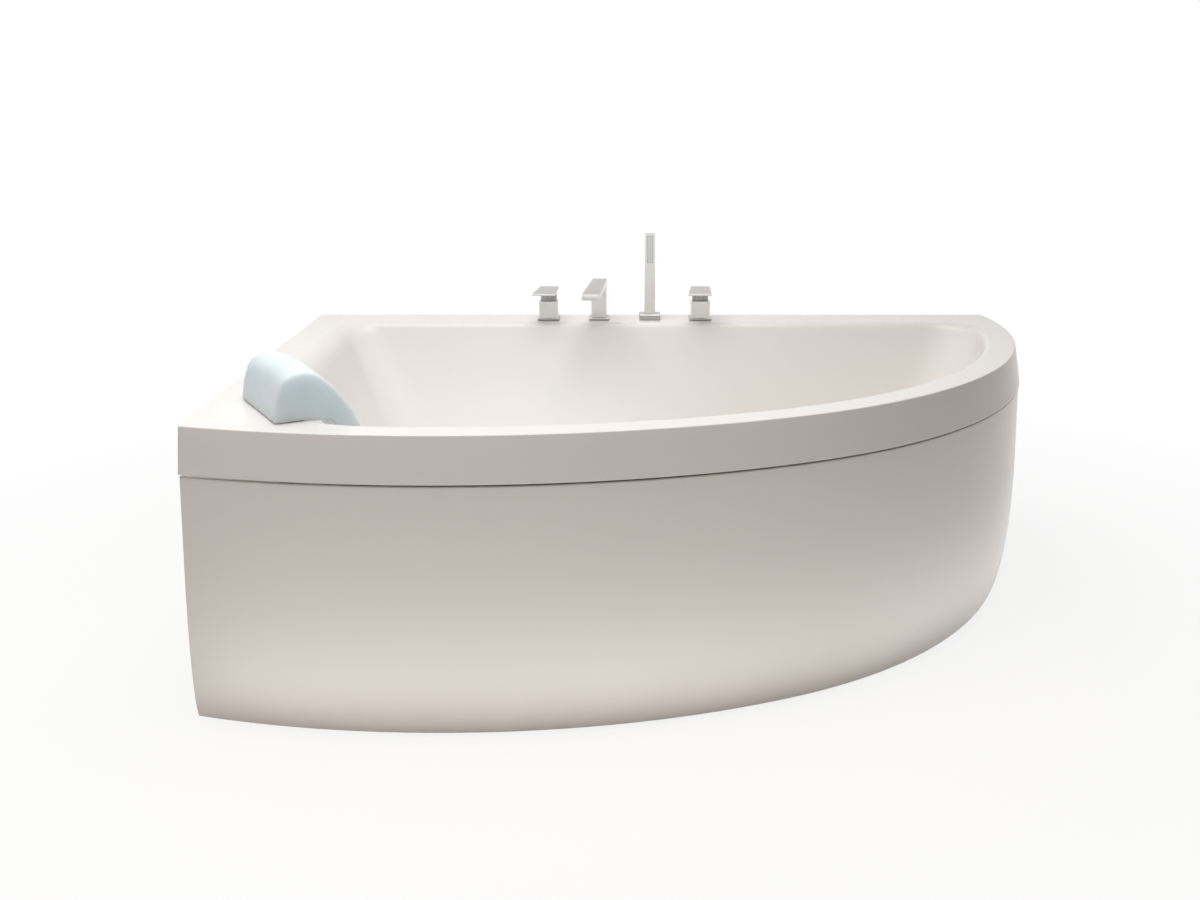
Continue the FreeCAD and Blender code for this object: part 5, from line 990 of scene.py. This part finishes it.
class MakeSpout(bpy.types.Operator):
    """Make the flat spout with its square column"""
    bl_idname = "bath.make_spout"
    bl_label = "Make Spout"

    def execute(self, context):
        sizes = context.scene.bath_taps
        x, y = middle_of("spout_escutcheon")
        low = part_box("spout_body")[0].z
        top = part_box("spout_body")[1].z
        half = sizes.spout_back_width / 2.0
        deep = sizes.spout_column / 2.0
        arm_low = top - sizes.spout_arm
        bm = block((x - half, y - deep, arm_low), (x + half, y + deep, top))
        underside = [f for f in bm.faces if f.normal.z < -FACING]
        extend(bm, underside, (0.0, 0.0, low - arm_low))
        arm_front = [f for f in bm.faces if f.normal.y < -FACING
                     and f.calc_center_median().z > arm_low]
        tip = extend(bm, arm_front, (0.0, deep - sizes.spout_reach, 0.0))
        widen(bm, tip, x, sizes.spout_front_width / sizes.spout_back_width)
        soften(bm, sizes.edge, SOFT_STEPS)
        rotate_about(bm, x, y, sizes.tap_turn)
        bmesh.ops.recalc_face_normals(bm, faces=bm.faces)
        spout = piece_from(bm, "square_spout", "brushed_nickel", smooth_above=METAL_CREASE)
        brush_metal(spout)
        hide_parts("spout_body")
        return {"FINISHED"}


class MakeLevers(bpy.types.Operator):
    """Make the two flat lever plates with what joins them to their handles"""
    bl_idname = "bath.make_levers"
    bl_label = "Make Levers"

    def execute(self, context):
        sizes = context.scene.bath_taps
        for name, node, body in (("mixer_lever_plate", "mixer_lever", "mixer_lever_body"),
                                 ("diverter_lever_plate", "diverter_handle",
                                  "diverter_handle_body")):
            x, y = middle_of(node.split("_")[0] + "_escutcheon")
            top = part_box(node)[1].z
            bm = self.plate(sizes, x, y, top)
            if node == "mixer_lever":
                self.add_tongue(bm, sizes, x, y, top)
            else:
                self.add_collar(bm, sizes, x, y, top)
            rotate_about(bm, x, y, sizes.tap_turn)
            lever = piece_from(bm, name, "brushed_nickel", body, smooth_above=METAL_CREASE)
            # Everything below the plate (neck, collar, tongue, stem) takes the dark nickel, which
            # is painted shade
            brush_metal(lever, top - sizes.lever_thickness - UNDER_PLATE)
            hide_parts(node)
        return {"FINISHED"}

    def plate(self, sizes, x, y, top):
        """Trapezoid plate, wider at its front, with softened edges."""
        half = sizes.lever_back_width / 2.0
        bm = block((x - half, y - sizes.lever_front, top - sizes.lever_thickness),
                   (x + half, y + sizes.lever_back, top))
        front = [v for v in bm.verts if v.co.y < y]
        widen(bm, front, x, sizes.lever_front_width / sizes.lever_back_width)
        soften(bm, sizes.edge, SOFT_STEPS)
        return bm

    def add_tongue(self, bm, sizes, x, y, top):
        """Tongue under the plate that swings on the pin in the collar."""
        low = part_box("mixer_lever_pin")[0].z - TONGUE_DROP
        tongue = block((x - TONGUE_HALF_WIDTH, y + TONGUE_FRONT, low),
                       (x + TONGUE_HALF_WIDTH, y + TONGUE_BACK,
                        top - sizes.lever_thickness / 2.0))
        soften(tongue, TONGUE_ROUND, SOFT_STEPS)
        join_into(bm, tongue)

    def add_collar(self, bm, sizes, x, y, top):
        """Round collar with its neck, and the stem that turns the cartridge."""
        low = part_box("diverter_handle")[0].z
        collar_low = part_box("mixer_collar")[1].z - COLLAR_HEIGHT
        collar_top = collar_low + COLLAR_HEIGHT
        plate_middle = top - sizes.lever_thickness / 2.0
        for radius, z_low, z_high in ((COLLAR_RADIUS, collar_low, collar_top),
                                      (NECK_RADIUS, collar_top, plate_middle),
                                      (STEM_RADIUS, low, collar_low)):
            round_bar = bmesh.new()
            bmesh.ops.create_cone(round_bar, cap_ends=True, segments=ROUND_STEPS, radius1=radius,
                                  radius2=radius, depth=z_high - z_low,
                                  matrix=Matrix.Translation((x, y, (z_low + z_high) / 2.0)))
            soften(round_bar, sizes.edge, BAR_SOFT_STEPS)
            join_into(bm, round_bar)


class MakeSprayNozzles(bpy.types.Operator):
    """Make the rows of rubber nozzles on the hand shower's spray plate"""
    bl_idname = "bath.make_spray_nozzles"
    bl_label = "Make Spray Nozzles"

    def execute(self, context):
        sizes = context.scene.bath_taps
        low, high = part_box("hand_shower_face")
        x = (low.x + high.x) / 2.0
        pitch = sizes.nozzle_pitch
        rows = int((high.z - low.z) / pitch)
        first = (low.z + high.z - pitch * (rows - 1)) / 2.0
        bm = bmesh.new()
        for row in range(rows):
            for column in NOZZLE_COLUMNS:
                place = Vector((x + column * pitch, low.y, first + row * pitch))
                bmesh.ops.create_cone(bm, cap_ends=True, segments=NOZZLE_STEPS,
                                      radius1=sizes.nozzle_radius,
                                      radius2=sizes.nozzle_radius * NOZZLE_TAPER,
                                      depth=NOZZLE_DEPTH,
                                      matrix=Matrix.Translation(place)
                                      @ Matrix.Rotation(math.pi / 2.0, 4, "X"))
        nozzles = piece_from(bm, "spray_nozzles", "nozzle_rubber", "hand_shower",
                             smooth_above=SHELL_CREASE)
        return {"FINISHED"}


class BathPanel(bpy.types.Panel):
    """Lists the sizes, colours and makers of the bathtub"""
    bl_idname = "VIEW3D_PT_bath"
    bl_label = "Corner Bathtub"
    bl_space_type = "VIEW_3D"
    bl_region_type = "UI"
    bl_category = "Bathtub"

    def draw(self, context):
        scene = context.scene
        for maker in MAKERS:
            self.layout.operator(maker.bl_idname)
        for group_name in GROUPS:
            group = getattr(scene, group_name)
            box = self.layout.box()
            for name in group.__annotations__:
                box.prop(group, name)


MAKERS = (MakeFinishes, MakeStage, MakeShell, MakeFrontPanel, MakeHeadrest, MakeSpout,
          MakeLevers, MakeSprayNozzles)
GROUPS = {"bath_tub": TubSizes, "bath_panel": PanelSizes, "bath_taps": TapSizes,
          "bath_colours": BathColours}
CLASSES = (*GROUPS.values(), *MAKERS, BathPanel)


def register():
    for made in CLASSES:
        bpy.utils.register_class(made)
    for name, group in GROUPS.items():
        setattr(bpy.types.Scene, name, bpy.props.PointerProperty(type=group))


def unregister():
    for name in GROUPS:
        delattr(bpy.types.Scene, name)
    for made in reversed(CLASSES):
        bpy.utils.unregister_class(made)


def main():
    register()
    bpy.ops.bath.make_finishes()
    bpy.ops.bath.make_stage()
    bpy.ops.bath.make_shell()
    bpy.ops.bath.make_front_panel()
    bpy.ops.bath.make_headrest()
    bpy.ops.bath.make_spout()
    bpy.ops.bath.make_levers()
    bpy.ops.bath.make_spray_nozzles()


if __name__ == "__main__":
    main()
